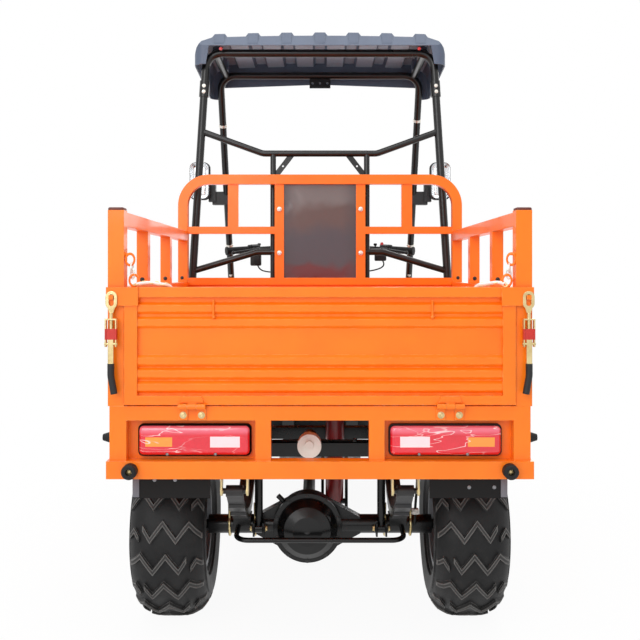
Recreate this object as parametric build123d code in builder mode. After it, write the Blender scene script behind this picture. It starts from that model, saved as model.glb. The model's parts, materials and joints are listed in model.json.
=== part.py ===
from build123d import *
from math import atan2, cos, degrees, hypot, pi, radians, sin, sqrt
import os

# Utility quad with a roll cage and a tipping drop-side bed.
# Millimetres. X to the right, Y forward, Z up, origin on the ground under the middle.

# Overall places along the machine
FRONT_END = 1530
BED_REAR = -1500
REAR_AXLE_Y = -1070
FRONT_AXLE_Y = 890
HEADBOARD_Y = -195
HOOP_Y = -110

# Wheels
WHEEL_R = 280
REAR_TRACK_HALF = 460
REAR_TYRE_W = 232
FRONT_TRACK_HALF = 450
FRONT_TYRE_W = 200
RIM_R = 127
RIM_FLANGE = 13
RIM_WALL = 5
TYRE_FIT = 0.3
BEAD_INSET = 28
TYRE_SIDES = 28
LUG_ROWS = {"rear": 14, "front": 10}
LUG_W = 36
LUG_H = 11
HUB_R = 38
HUB_CAP_R = 30
SPINDLE_R = 15
BEARING_GAP = 0.5
DRUM_R = 92
STUD_CIRCLE_R = 55
STUD_COUNT = 4
STUD_R = 10
RIM_HOLE_R = 11
RIM_HOLE_CIRCLE_R = 107
RIM_HOLE_COUNT = 10
DISC_SHEET = 6
DISH_DEPTH = 18

# Chassis
RAIL_X = 250
RAIL_W = 50
RAIL_BOTTOM = 520
RAIL_TOP = 600
RAIL_REAR = -1370
NOSE_RAIL_X = 135
NOSE_RAIL_W = 50
NOSE_RAIL_BOTTOM = 340
NOSE_RAIL_TOP = 400
NOSE_RAIL_FRONT = FRONT_END - 280
OUTRIGGER_X = 520
TILT_Y = -1425
TILT_Z = 545
TILT_EAR_R = 20
TILT_PIN_R = 9.5

# Cargo bed
BED_HALF = 594
DECK_Z = 722
DECK_SHEET = 6
DECK_MAT = 2
DECK_INSET = 12
SILL_OUT = 582
SILL_W = 37
SILL_H = 56
LONGERON_GAP = 4
GATE_TOP = 1054
GATE_GAP = 4
GATE_HALF = 545
GATE_REAR = -1494
GATE_T = 36
POST_W = 45
POST_REAR = -1488
POST_TOP = 1269
HINGE_R = 8
HINGE_PIN_R = 4
HINGE_GAP = 0.4
HINGE_W = 76
GATE_HINGE_Y = -1506
GATE_HINGE_Z = 723.5
HINGE_LEAF = 33
HINGE_LEAF_H = 18
HINGE_LEAF_GAP = 9
SIDE_HINGE_X = 600
SIDE_HINGE_Z = 723.5
BEAM_BOTTOM = 521
BEAM_TOP = 570
TAIL_RAIL_BOTTOM = 682
LAMP_W = 318
LAMP_H = 90
LAMP_X = 352
LAMP_Z = 624
LAMP_T = 30
BUFFER_X = 526
BUFFER_Z = 545
BUFFER_R = 21
BUFFER_LENGTH = 30
SIDE_BUFFER_Z = 632
HEADBOARD_TOP = 1504
HEADBOARD_TUBE = 40
HEADBOARD_ROUND = 130
HEADBOARD_SILL = 1072
MIDBAR_BOTTOM = 1256
MIDBAR_TOP = 1286
PANEL_HALF = 151
RAIL_CAP_BOTTOM = 1226
RAIL_CAP_TOP = 1266
STAKE_W = 40
STAKE_Y = (-1085, -650)

# Lift cylinder
LIFT_X = 50
LIFT_FOOT_Y = -860
LIFT_FOOT_Z = 300
LIFT_HEAD_Y = -1000
LIFT_HEAD_Z = 660
LIFT_BARREL_R = 31
LIFT_ROD_R = 15
LIFT_EYE_R = 33
LIFT_EYE_BORE = 25
LIFT_PIN_R = 8

# Roll cage and roof
CAGE_TUBE = 34
HOOP_FOOT_X = 578
HOOP_HEAD_X = 487
CAGE_TOP_Z = 2036
CAGE_BEND = 70
FRONT_HOOP_X = 477
FRONT_HOOP_Y = 340
FRONT_FOOT_Y = 1014
FRONT_FOOT_Z = 800
CAGE_RAIL_X = 450
SHOULDER_TUBE = 27
SHOULDER_Z = 1605
SHOULDER_END_Z = 1700
STRUT_TUBE = 25
STRUT_X = 201
SPLICE_Z = 1882
SHOULDER_FLAT = 245
WAIST_Z = 1182
WAIST_END_Z = 1100
WAIST_FLAT = 270
BRACE_REACH = 84
BRACE_DROP = 109
BRACE_W = 24
BRACE_HOLE_R = 4
ROOF_HALF = 533
ROOF_RIDGE = 2117
ROOF_CROWN = 12
ROOF_SHOULDER = 75
ROOF_SKIRT_REAR = 1975
ROOF_SKIRT_FRONT = 1935
ROOF_LIP_REAR = 2053
ROOF_LIP_FRONT = 1992
ROOF_LIP_ARCH = 17
ROOF_SLOPE = 48
ROOF_CORNER = 40
ROOF_SHEET = 5
ROOF_REAR = -180
ROOF_FRONT = 420
RIDGE_H = 16
RIDGE_PITCH = 142
RIDGE_COUNT = 7
RIDGE_TOP_W = 43
RIDGE_BASE_W = 64
RIDGE_END_H = 12

# Steering
KING_X = 385
KING_R = 9
ARM_LENGTH = 120
ARM_X = 324
TRACK_ROD_D = 18
TRACK_ROD_Z = 246
STEM_FOOT_Y = 800
STEM_FOOT_Z = 330
STEM_HEAD_Y = 480
STEM_HEAD_Z = 1130
STEM_R = 16
BAR_TUBE = 22
GRIP_X = 440
GRIP_Y = 285
GRIP_Z = 1195
GRIP_R = 17
GRIP_LENGTH = 118
BAR_KNEE_X = 190
BAR_KNEE_Y = 400
BAR_RISE = 20
LEVER_R = 6
LEVER_BALL_R = 9
POD_W = 150
POD_H = 90
POD_T = 46

# Cab
FLOOR_Z = 404
FLOOR_SHEET = 4
FLOOR_HALF = 530
TOE_Y = 560
SEAT_BASE_HALF = 235
SEAT_BASE_REAR = -30
SEAT_BASE_FRONT = 330
SEAT_BASE_TOP = 690
SEAT_HALF = 270
SEAT_TOP = 800
BACKREST_TOP = 1060
MIRROR_X = 608
MIRROR_Z = 1556
MIRROR_W = 104
MIRROR_H = 190
MIRROR_CLAMP_Z = 1473
MIRROR_CLAMP_H = 66
MIRROR_ARM_X = 549
MIRROR_ARM_W = 36
MIRROR_ARM_TOP = 1557
DAMPER_R = 13
SUMP_Z = 205
SUMP_HALF = 150
FIN_COUNT = 6
FIN_PITCH = 24

# Nose
NOSE_Y = FRONT_END - 200
COWL_SHEET = 4
ARCH_R = 350
ARCH_IN = 200
ARCH_OUT = 560
HEADLAMP_X = 110
HEADLAMP_Z = 620
HEADLAMP_R = 62
HEADLAMP_PROUD = 15
GRILLE_SLOTS = 4
GRILLE_PITCH = 20
BUMPER_R = 16
BUMPER_HALF = 240
BUMPER_SWEEP = 94
BUMPER_BARS = (470, 640)

# Toggle latches
LATCH_X = 578
LATCH_LOOP_W = 32
LATCH_LOOP_H = 50
LATCH_SLOT_W = 14
LATCH_EYE_Z = 1018
CATCH_W = 12

SIDES = (("left", -1), ("right", 1))


def block(x, y, z, mode=Mode.ADD):
    """A box from its three (low, high) ranges."""
    with Locations(((x[0] + x[1]) / 2, (y[0] + y[1]) / 2, (z[0] + z[1]) / 2)):
        Box(abs(x[1] - x[0]), abs(y[1] - y[0]), abs(z[1] - z[0]), mode=mode)


def both(x, y, z, mode=Mode.ADD):
    """The same box on the right and on the left."""
    for side in (-1, 1):
        block((side * x[0], side * x[1]), y, z, mode=mode)


def rod(start, end, radius, mode=Mode.ADD):
    """A round bar between two points."""
    a = Vector(*start)
    b = Vector(*end)
    with Locations(Plane(origin=a, z_dir=b - a).location):
        Cylinder(radius, (b - a).length, align=(Align.CENTER, Align.CENTER, Align.MIN), mode=mode)


def tube_path(points, radius, bend):
    """A round tube along corner points with one bend radius."""
    with BuildLine() as path:
        FilletPolyline(*points, radius=bend)
    with BuildSketch(Plane(origin=path.line @ 0, z_dir=path.line % 0)) as ring:
        Circle(radius)
    sweep(ring.sketch, path=path.line)


def side_plate(points, x, mode=Mode.ADD):
    """A plate with an outline in Y and Z, between two X values."""
    with BuildSketch(Plane.YZ.offset(min(x))) as outline:
        Polygon(*points, align=None)
    extrude(outline.sketch, amount=abs(x[1] - x[0]), mode=mode)


def cross_plate(points, y, mode=Mode.ADD):
    """A plate with an outline in X and Z, between two Y values."""
    with BuildSketch(Plane.XZ.offset(-max(y))) as outline:
        Polygon(*points, align=None)
    extrude(outline.sketch, amount=abs(y[1] - y[0]), mode=mode)


def turned(points, centre, mode=Mode.ADD):
    """A body turned round the X direction from a profile of (x, radius)."""
    plane = Plane(origin=centre, x_dir=(1, 0, 0), z_dir=(0, -1, 0))
    with BuildSketch(plane) as profile:
        Polygon(*points, align=None)
    revolve(profile.sketch, axis=Axis(centre, (1, 0, 0)), mode=mode)


def spun(points, centre, mode=Mode.ADD):
    """A body turned round the Y direction from a profile of (radius, y)."""
    with BuildSketch(Plane(origin=centre, x_dir=(1, 0, 0), z_dir=(0, 0, 1))) as profile:
        Polygon(*points, align=None)
    revolve(profile.sketch, axis=Axis(centre, (0, 1, 0)), mode=mode)


def faceted(stations, centre, mode=Mode.ADD):
    """A many-sided body along X through stations of (x, corner radius)."""
    rings = []
    for x, radius in stations:
        spot = (centre[0] + x, centre[1], centre[2])
        with BuildSketch(Plane(origin=spot, x_dir=(0, 1, 0), z_dir=(1, 0, 0))) as ring:
            RegularPolygon(radius, TYRE_SIDES)
        rings.append(ring.sketch)
    loft(rings, ruled=True, mode=mode)


def lofted(sections, mode=Mode.ADD):
    """A body through rounded upright sections of (y, half width, bottom, top, corner)."""
    faces = []
    for y, half, low, high, corner in sections:
        with BuildSketch(Plane.XZ.offset(-y)) as section:
            with Locations((0, (low + high) / 2)):
                RectangleRounded(2 * half, high - low, corner)
        faces.append(section.sketch)
    loft(faces, mode=mode)


def save(builder, label):
    """Name a finished piece and write it."""
    builder.part.label = label
    export_step(builder.part, f"parts/{label}.step")


os.makedirs("parts", exist_ok=True)

# Chassis frame
CROSS_MEMBERS = (
    # rear y, front y, bottom, top, half width
    (-1145, -1105, 512, 555, RAIL_X),
    (-885, -840, 520, 560, RAIL_X),
    (-300, -240, 530, 590, RAIL_X),
)
NOSE_MEMBERS = (
    # rear y, front y
    (430, 480),
    (770, 830),
    (1190, 1250),
)
with BuildPart() as chassis_frame:
    rail_x = (RAIL_X - RAIL_W / 2, RAIL_X + RAIL_W / 2)
    both(rail_x, (RAIL_REAR, HOOP_Y + 30), (RAIL_BOTTOM, RAIL_TOP))
    for rear, front, bottom, top, half in CROSS_MEMBERS:
        block((-half, half), (rear, front), (bottom, top))
    block((-HOOP_FOOT_X - 25, HOOP_FOOT_X + 25), (HOOP_Y - 30, HOOP_Y + 30), (540, RAIL_TOP))
    nose_x = (NOSE_RAIL_X - NOSE_RAIL_W / 2, NOSE_RAIL_X + NOSE_RAIL_W / 2)
    kick = [
        (-300, 590),
        (-190, 590),
        (-40, NOSE_RAIL_TOP),
        (NOSE_RAIL_FRONT, NOSE_RAIL_TOP),
        (NOSE_RAIL_FRONT, NOSE_RAIL_BOTTOM),
        (-75, NOSE_RAIL_BOTTOM),
        (-225, 530),
        (-300, 530),
    ]
    for side in (-1, 1):
        side_plate(kick, (side * nose_x[0], side * nose_x[1]))
    for rear, front in NOSE_MEMBERS:
        block((-nose_x[0], nose_x[0]), (rear, front), (NOSE_RAIL_BOTTOM, NOSE_RAIL_BOTTOM + 30))
    for y in (0, 500):
        both((nose_x[1], OUTRIGGER_X), (y - 15, y + 15), (NOSE_RAIL_TOP - 30, NOSE_RAIL_TOP))
    both((NOSE_RAIL_X - 20, NOSE_RAIL_X + 20), (FRONT_FOOT_Y - 20, FRONT_FOOT_Y + 20), (NOSE_RAIL_TOP, 760))
    block((-510, 510), (FRONT_FOOT_Y - 20, FRONT_FOOT_Y + 20), (FRONT_FOOT_Z - 40, FRONT_FOOT_Z))
    # Suspension brackets
    both((NOSE_RAIL_X - 20, NOSE_RAIL_X + 20), (FRONT_AXLE_Y - 82, FRONT_AXLE_Y + 82), (275, NOSE_RAIL_BOTTOM))
    both((NOSE_RAIL_X - 20, NOSE_RAIL_X + 20), (FRONT_AXLE_Y - 20, FRONT_AXLE_Y + 20), (NOSE_RAIL_TOP, 590))
    both((NOSE_RAIL_X - 20, 205), (FRONT_AXLE_Y - 20, FRONT_AXLE_Y + 20), (555, 590))
    # Ears of the bed pivot
    for side in (-1, 1):
        ear = [
            (RAIL_REAR, RAIL_BOTTOM),
            (RAIL_REAR, RAIL_TOP),
            (TILT_Y, TILT_Z + TILT_EAR_R),
            (TILT_Y, TILT_Z - TILT_EAR_R),
        ]
        x = (side * (RAIL_X - 10), side * (RAIL_X + 10))
        side_plate(ear, x)
        rod((x[0], TILT_Y, TILT_Z), (x[1], TILT_Y, TILT_Z), TILT_EAR_R)
        rod((side * (RAIL_X - 24), TILT_Y, TILT_Z), (side * (RAIL_X + 24), TILT_Y, TILT_Z), TILT_PIN_R)
        # Spring hangers
        for x0 in (RAIL_X - 33, RAIL_X + 25):
            block((side * x0, side * (x0 + 8)), (-805, -755), (435, 570))
        rod((side * (RAIL_X - 33), -780, 455), (side * (RAIL_X + 33), -780, 455), 8)
        rod((side * (RAIL_X - 35), -1345, 545), (side * (RAIL_X + 35), -1345, 545), 10)
    # Foot of the lift cylinder
    for x0 in (LIFT_X - 46, LIFT_X + 36):
        block((x0, x0 + 10), (LIFT_FOOT_Y - 25, LIFT_FOOT_Y + 25), (LIFT_FOOT_Z - 22, 525))
    rod((LIFT_X - 46, LIFT_FOOT_Y, LIFT_FOOT_Z), (LIFT_X + 46, LIFT_FOOT_Y, LIFT_FOOT_Z), TILT_PIN_R)
    # Lower bearing of the steering stem
    stem_dir = Vector(0, STEM_HEAD_Y - STEM_FOOT_Y, STEM_HEAD_Z - STEM_FOOT_Z).normalized()
    stem_foot = Vector(0, STEM_FOOT_Y, STEM_FOOT_Z)
    bearing = stem_foot + stem_dir * 25
    rod(bearing, bearing + stem_dir * 60, STEM_R + 10)
    rod(stem_foot, stem_foot + stem_dir * 120, STEM_R + BEARING_GAP, mode=Mode.SUBTRACT)
save(chassis_frame, "chassis_frame")

# Rear axle
DIFF_X = -40
DIFF_R = 110
with BuildPart() as rear_axle:
    diff_x = DIFF_X
    rod((-360, REAR_AXLE_Y, WHEEL_R), (360, REAR_AXLE_Y, WHEEL_R), 30)
    spindle = REAR_TRACK_HALF + 18
    rod((-spindle, REAR_AXLE_Y, WHEEL_R), (spindle, REAR_AXLE_Y, WHEEL_R), SPINDLE_R)
    housing = [
        (0, -104), (46, -100), (74, -88), (DIFF_R - 16, -66), (DIFF_R - 14, -56), (DIFF_R, -56), (DIFF_R, -40),
        (DIFF_R - 8, -38), (DIFF_R - 8, 40), (DIFF_R - 26, 74), (46, 104), (42, 145), (0, 145),
    ]
    spun(housing, (diff_x, REAR_AXLE_Y, WHEEL_R))
    rod((diff_x - 62, REAR_AXLE_Y - 20, WHEEL_R + 62), (diff_x - 96, REAR_AXLE_Y - 20, WHEEL_R + 96), 8)
    rod((diff_x + 60, REAR_AXLE_Y - 84, WHEEL_R + 34), (diff_x + 60, REAR_AXLE_Y - 60, WHEEL_R + 34), 14)
    rod((diff_x + 30, REAR_AXLE_Y - 20, WHEEL_R - 112), (diff_x + 30, REAR_AXLE_Y - 20, WHEEL_R - 90), 12)
    for side in (-1, 1):
        gusset = [
            (diff_x + side * 60, WHEEL_R + 85),
            (diff_x + side * 170, WHEEL_R + 26),
            (diff_x + side * 170, WHEEL_R - 26),
            (diff_x + side * 60, WHEEL_R - 85),
        ]
        cross_plate(gusset, (REAR_AXLE_Y - 22, REAR_AXLE_Y + 22))
        block((side * 222, side * 278), (REAR_AXLE_Y - 35, REAR_AXLE_Y + 35), (WHEEL_R, WHEEL_R + 32))
        for x0 in (177, 207):
            block((side * x0, side * (x0 + 6)), (REAR_AXLE_Y - 75, REAR_AXLE_Y), (WHEEL_R - 22, WHEEL_R + 20))
save(rear_axle, "rear_axle")

# Leaf springs with their shackles
LEAF_T = 8
LEAF_COUNT = 4
LEAF_EYE_Z = 455
LEAF_HALF = 290
for name, side in SIDES:
    with BuildPart() as leaf_spring:
        base = WHEEL_R + 32
        sag = LEAF_EYE_Z - (base + LEAF_COUNT * LEAF_T)
        curve = (LEAF_HALF**2 + sag**2) / (2 * sag)
        centre_z = base + LEAF_COUNT * LEAF_T + curve
        for leaf in range(LEAF_COUNT):
            inner = curve + leaf * LEAF_T
            half = LEAF_HALF * (1 - 0.22 * leaf)
            with BuildSketch(Plane.YZ.offset(side * RAIL_X - 24.5)):
                with Locations((REAR_AXLE_Y, centre_z)):
                    Circle(inner + LEAF_T)
                    Circle(inner, mode=Mode.SUBTRACT)
                with Locations((REAR_AXLE_Y, centre_z - curve)):
                    Rectangle(2 * half, curve, mode=Mode.INTERSECT)
            extrude(amount=49)
        for end in (-1, 1):
            y = REAR_AXLE_Y + end * LEAF_HALF
            rod((side * RAIL_X - 24.5, y, LEAF_EYE_Z), (side * RAIL_X + 24.5, y, LEAF_EYE_Z), 17)
            rod((side * RAIL_X - 40, y, LEAF_EYE_Z), (side * RAIL_X + 40, y, LEAF_EYE_Z), 8.5, mode=Mode.SUBTRACT)
        rear_eye = REAR_AXLE_Y - LEAF_HALF
        rod((side * RAIL_X - 41, rear_eye, LEAF_EYE_Z), (side * RAIL_X + 41, rear_eye, LEAF_EYE_Z), 8.5)
        for x0 in (-41, 35):
            with BuildSketch(Plane.YZ.offset(side * RAIL_X + x0)):
                with Locations(((rear_eye - 1345) / 2, (LEAF_EYE_Z + 545) / 2)):
                    SlotCenterToCenter(91.3, 28, rotation=degrees(atan2(90, rear_eye + 1345 + 30)))
            extrude(amount=6)
    save(leaf_spring, f"leaf_spring_{name}")

# Dampers behind the axle
with BuildPart() as rear_dampers:
    for side in (-1, 1):
        x = side * 195
        y = REAR_AXLE_Y - 55
        rod((x, y, WHEEL_R + 10), (x, y, WHEEL_R + 42), 11)
        rod((x, y, WHEEL_R + 40), (x, y, CROSS_MEMBERS[0][2]), DAMPER_R)
        rod((x - 11.5, y, WHEEL_R), (x + 11.5, y, WHEEL_R), 14)
save(rear_dampers, "rear_dampers")

# Guard bar behind the axle housing
with BuildPart() as axle_guard:
    tube_path(
        [
            (-262, REAR_AXLE_Y - 30.3, WHEEL_R),
            (-262, REAR_AXLE_Y - 135, WHEEL_R - 15),
            (262, REAR_AXLE_Y - 135, WHEEL_R - 15),
            (262, REAR_AXLE_Y - 30.3, WHEEL_R),
        ],
        8,
        40,
    )
    add(rear_axle.part, mode=Mode.SUBTRACT)
save(axle_guard, "axle_guard_bar")

# Hydraulic pack
with BuildPart() as hydraulic_pack:
    rod((-32, -1300, 574), (-32, -1250, 574), 36)
    rod((-32, -1252, 574), (-32, -1145, 574), 25)
    rod((-32, -1308, 578), (-32, -1300, 578), 13)
    block((-56, -8), (-1175, -1145), (528, 556))
save(hydraulic_pack, "hydraulic_pack")

# Engine and drive line
with BuildPart() as engine_block:
    block((-SUMP_HALF, SUMP_HALF), (10, 330), (SUMP_Z, NOSE_RAIL_BOTTOM - 2))
    fillet(engine_block.edges().filter_by(Axis.Z), 40)
    fillet(engine_block.faces().sort_by(Axis.Z)[0].edges(), 20)
    block((-105, 105), (82, 258), (NOSE_RAIL_BOTTOM - 4, 372))
    block((-110, 110), (40, 300), (370, 470))
    block((-78, 78), (75, 265), (470, 640))
    for n in range(FIN_COUNT):
        z = 484 + n * FIN_PITCH
        block((-98, 98), (55, 285), (z, z + 6))
    rod((-108, 170, 420), (108, 170, 420), 95)
    for side in (-1, 1):
        rod((side * (SUMP_HALF - 2), 130, 272), (side * (SUMP_HALF + 22), 130, 272), 58)
        rod((side * (SUMP_HALF + 20), 130, 272), (side * (SUMP_HALF + 34), 130, 272), 26)
save(engine_block, "engine_block")
with BuildPart() as prop_shaft:
    rod((-40, REAR_AXLE_Y + 140, WHEEL_R), (-40, 110, 380), 22)
    add(rear_axle.part, mode=Mode.SUBTRACT)
    add(engine_block.part, mode=Mode.SUBTRACT)
save(prop_shaft, "prop_shaft")

# Silencer
with BuildPart() as silencer:
    rod((-330, -470, 470), (-330, -190, 470), 55)
    tube_path(
        [(-330, -192, 470), (-330, -150, 470), (-330, -110, 318), (-330, 110, 318), (-60, 110, 318), (-60, 110, 368)],
        14,
        24,
    )
    add(engine_block.part, mode=Mode.SUBTRACT)
save(silencer, "silencer")

# Floor and seat base
with BuildPart() as floor_pan:
    block((-FLOOR_HALF, FLOOR_HALF), (-70, TOE_Y), (NOSE_RAIL_TOP, FLOOR_Z))
    block((-FLOOR_HALF, FLOOR_HALF), (TOE_Y - FLOOR_SHEET, TOE_Y), (FLOOR_Z, 640))
    block((-SEAT_BASE_HALF + 20, SEAT_BASE_HALF - 20), (-70, 310), (NOSE_RAIL_TOP - 5, FLOOR_Z + 5), mode=Mode.SUBTRACT)
save(floor_pan, "floor_pan")
with BuildPart() as seat_base:
    block((-SEAT_BASE_HALF, SEAT_BASE_HALF), (SEAT_BASE_REAR, SEAT_BASE_FRONT), (FLOOR_Z, SEAT_BASE_TOP))
    fillet(seat_base.edges().filter_by(Axis.Z), 40)
    block(
        (-SEAT_BASE_HALF + 5, SEAT_BASE_HALF - 5),
        (SEAT_BASE_REAR + 5, SEAT_BASE_FRONT - 5),
        (FLOOR_Z - 1, SEAT_BASE_TOP - 5),
        mode=Mode.SUBTRACT,
    )
save(seat_base, "seat_base")
with BuildPart() as seat_cushion:
    block((-SEAT_HALF, SEAT_HALF), (SEAT_BASE_REAR - 4, SEAT_BASE_FRONT + 20), (SEAT_BASE_TOP, SEAT_TOP))
    fillet(seat_cushion.edges().filter_by(Axis.Z), 40)
save(seat_cushion, "seat_cushion")
with BuildPart() as seat_backrest:
    block((-250, 250), (HOOP_Y + 12.5, HOOP_Y + 72), (SEAT_TOP + 15, BACKREST_TOP))
    fillet(seat_backrest.edges().filter_by(Axis.Y), 40)
save(seat_backrest, "seat_backrest")

# Front body with the wheel arches
COWL = (
    # y, half width, bottom, top, corner
    (TOE_Y, 240, 420, 900, 50),
    (900, 225, 420, 880, 50),
    (NOSE_Y, 190, 470, 730, 50),
)
ARCH_BASE = WHEEL_R + 150
with BuildPart() as front_body:
    lofted(COWL)
    for side in (-1, 1):
        with BuildSketch(Plane.YZ.offset(ARCH_IN if side > 0 else -ARCH_OUT)):
            with Locations((FRONT_AXLE_Y, WHEEL_R)):
                Circle(ARCH_R + COWL_SHEET)
                Circle(ARCH_R, mode=Mode.SUBTRACT)
            with Locations((FRONT_AXLE_Y, ARCH_BASE)):
                Rectangle(2 * ARCH_R + 20, 2 * ARCH_R, align=(Align.CENTER, Align.MIN), mode=Mode.INTERSECT)
        extrude(amount=ARCH_OUT - ARCH_IN)
        # Rolled lip of the arch
        lip = (side * (ARCH_OUT - 5), side * ARCH_OUT)
        with BuildSketch(Plane.YZ.offset(min(lip))):
            with Locations((FRONT_AXLE_Y, WHEEL_R)):
                Circle(ARCH_R + 2)
                Circle(ARCH_R - 16, mode=Mode.SUBTRACT)
            with Locations((FRONT_AXLE_Y, ARCH_BASE)):
                Rectangle(2 * ARCH_R + 20, 2 * ARCH_R, align=(Align.CENTER, Align.MIN), mode=Mode.INTERSECT)
        extrude(amount=5)
    inside = [(y, half - COWL_SHEET, low + COWL_SHEET, high - COWL_SHEET, corner) for y, half, low, high, corner in COWL]
    inside[0] = (TOE_Y - 1,) + inside[0][1:]
    inside[2] = (NOSE_Y - COWL_SHEET,) + inside[2][1:]
    lofted(inside, mode=Mode.SUBTRACT)
    block((-215, 215), (TOE_Y, NOSE_Y - 50), (400, 520), mode=Mode.SUBTRACT)
    block((-300, 300), (FRONT_AXLE_Y - 170, FRONT_AXLE_Y + 170), (400, 600), mode=Mode.SUBTRACT)
    foot = (FRONT_FOOT_Z - 44, FRONT_FOOT_Z + 4)
    block((-ARCH_OUT, ARCH_OUT), (FRONT_FOOT_Y - 24, FRONT_FOOT_Y + 24), foot, mode=Mode.SUBTRACT)
    block((-30, 30), (TOE_Y - 5, 700), (700, 910), mode=Mode.SUBTRACT)
    for side in (-1, 1):
        lamp = side * HEADLAMP_X
        rod((lamp, NOSE_Y - 20, HEADLAMP_Z), (lamp, NOSE_Y + 10, HEADLAMP_Z), HEADLAMP_R, mode=Mode.SUBTRACT)
    for n in range(GRILLE_SLOTS):
        z = HEADLAMP_Z + (n - (GRILLE_SLOTS - 1) / 2) * GRILLE_PITCH
        slot = (z - GRILLE_PITCH / 4, z + GRILLE_PITCH / 4)
        half = HEADLAMP_X - HEADLAMP_R - 8
        block((-half, half), (NOSE_Y - 20, NOSE_Y + 10), slot, mode=Mode.SUBTRACT)
    add(chassis_frame.part, mode=Mode.SUBTRACT)
    add(floor_pan.part, mode=Mode.SUBTRACT)
save(front_body, "front_body")
with BuildPart() as headlamps:
    for side in (-1, 1):
        lens = [
            (0, -50), (HEADLAMP_R, -50), (HEADLAMP_R, HEADLAMP_PROUD - 9),
            (HEADLAMP_R - 10, HEADLAMP_PROUD - 2), (0, HEADLAMP_PROUD),
        ]
        spun(lens, (side * HEADLAMP_X, NOSE_Y, HEADLAMP_Z))
    add(front_body.part, mode=Mode.SUBTRACT)
save(headlamps, "headlamps")

# Front bumper
with BuildPart() as front_bumper:
    bar_y = FRONT_END - BUMPER_R
    for z in BUMPER_BARS:
        bar = [(-BUMPER_HALF, bar_y, z), (BUMPER_HALF, bar_y, z)]
        wing = (BUMPER_HALF + 60, bar_y - BUMPER_SWEEP, z)
        tube_path([(-wing[0], wing[1], z)] + bar + [wing], BUMPER_R, 40)
    for side in (-1, 1):
        x = side * NOSE_RAIL_X
        rail_z = (NOSE_RAIL_BOTTOM + NOSE_RAIL_TOP) / 2
        knee = (x, FRONT_END - 50, rail_z + 30)
        tube_path([(x, NOSE_RAIL_FRONT, rail_z), knee, (x, bar_y - 4, BUMPER_BARS[1] + 60)], BUMPER_R - 1, 50)
    add(chassis_frame.part, mode=Mode.SUBTRACT)
save(front_bumper, "front_bumper")

# Front wishbones and spring struts
for name, side in SIDES:
    with BuildPart() as front_arms:
        for z_in, z_out in ((295, 186), (386, 374)):
            eye = (side * KING_X, FRONT_AXLE_Y, z_out)
            for end in (-1, 1):
                rod((side * 155, FRONT_AXLE_Y + end * 70, z_in), (side * (KING_X - 6), FRONT_AXLE_Y + end * 8, z_out), 11)
        rod((side * 262, FRONT_AXLE_Y - 40, 243), (side * 262, FRONT_AXLE_Y + 40, 243), 9)
        for z_out in (186, 374):
            eye = (side * KING_X, FRONT_AXLE_Y, z_out)
            rod((eye[0], eye[1], z_out - 12), (eye[0], eye[1], z_out + 12), 19)
            rod((eye[0], eye[1], z_out - 14), (eye[0], eye[1], z_out + 14), KING_R + BEARING_GAP, mode=Mode.SUBTRACT)
        add(chassis_frame.part, mode=Mode.SUBTRACT)
    save(front_arms, f"front_arms_{name}")
    with BuildPart() as front_strut:
        foot = Vector(side * 262, FRONT_AXLE_Y, 246)
        head = Vector(side * 182, FRONT_AXLE_Y, 560)
        rod(foot, head, 8)
        run = (head - foot).normalized()
        rod(foot + run * 60, head - run * 30, 26)
        add(front_arms.part, mode=Mode.SUBTRACT)
        add(chassis_frame.part, mode=Mode.SUBTRACT)
    save(front_strut, f"front_strut_{name}")

# Cage
with BuildPart() as cage_rear_hoop:
    tube_path(
        [
            (-HOOP_FOOT_X, HOOP_Y, RAIL_TOP),
            (-HOOP_HEAD_X, HOOP_Y, CAGE_TOP_Z),
            (HOOP_HEAD_X, HOOP_Y, CAGE_TOP_Z),
            (HOOP_FOOT_X, HOOP_Y, RAIL_TOP),
        ],
        CAGE_TUBE / 2,
        CAGE_BEND,
    )
    lean = (HOOP_FOOT_X - HOOP_HEAD_X) / (CAGE_TOP_Z - RAIL_TOP)
    for side in (-1, 1):
        z = SPLICE_Z
        x = HOOP_FOOT_X - lean * (z - RAIL_TOP)
        rod((side * (x + lean * 34), HOOP_Y, z - 34), (side * (x - lean * 34), HOOP_Y, z + 34), CAGE_TUBE / 2 + 4)
    add(chassis_frame.part, mode=Mode.SUBTRACT)
save(cage_rear_hoop, "cage_rear_hoop")
with BuildPart() as cage_cross_bars:
    for z_end, z_mid, half_flat in ((SHOULDER_END_Z, SHOULDER_Z, SHOULDER_FLAT), (WAIST_END_Z, WAIST_Z, WAIST_FLAT)):
        reach = HOOP_FOOT_X - lean * (z_end - RAIL_TOP)
        bar = [(half_flat, HOOP_Y, z_mid), (reach, HOOP_Y, z_end)]
        tube_path([(-x, y, z) for x, y, z in reversed(bar)] + bar, SHOULDER_TUBE / 2, 60)
    for side in (-1, 1):
        rod((side * STRUT_X, HOOP_Y, RAIL_TOP), (side * STRUT_X, HOOP_Y, SHOULDER_Z), STRUT_TUBE / 2)
        run = sqrt(BRACE_REACH**2 + BRACE_DROP**2)
        edge_x = BRACE_W / 2 * BRACE_DROP / run
        edge_z = BRACE_W / 2 * BRACE_REACH / run
        brace = []
        for x, z in ((STRUT_X, SHOULDER_Z - BRACE_DROP), (STRUT_X - BRACE_REACH, SHOULDER_Z)):
            brace.append([(x - edge_x, z - edge_z), (x + edge_x, z + edge_z)])
        strip = brace[0] + brace[1][::-1]
        cross_plate([(side * x, z) for x, z in strip], (HOOP_Y - 2, HOOP_Y + 2))
        x = side * (STRUT_X - BRACE_REACH / 2)
        z = SHOULDER_Z - BRACE_DROP / 2
        rod((x, HOOP_Y - 4, z), (x, HOOP_Y + 4, z), BRACE_HOLE_R, mode=Mode.SUBTRACT)
    add(cage_rear_hoop.part, mode=Mode.SUBTRACT)
    add(chassis_frame.part, mode=Mode.SUBTRACT)
save(cage_cross_bars, "cage_cross_bars")
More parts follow.
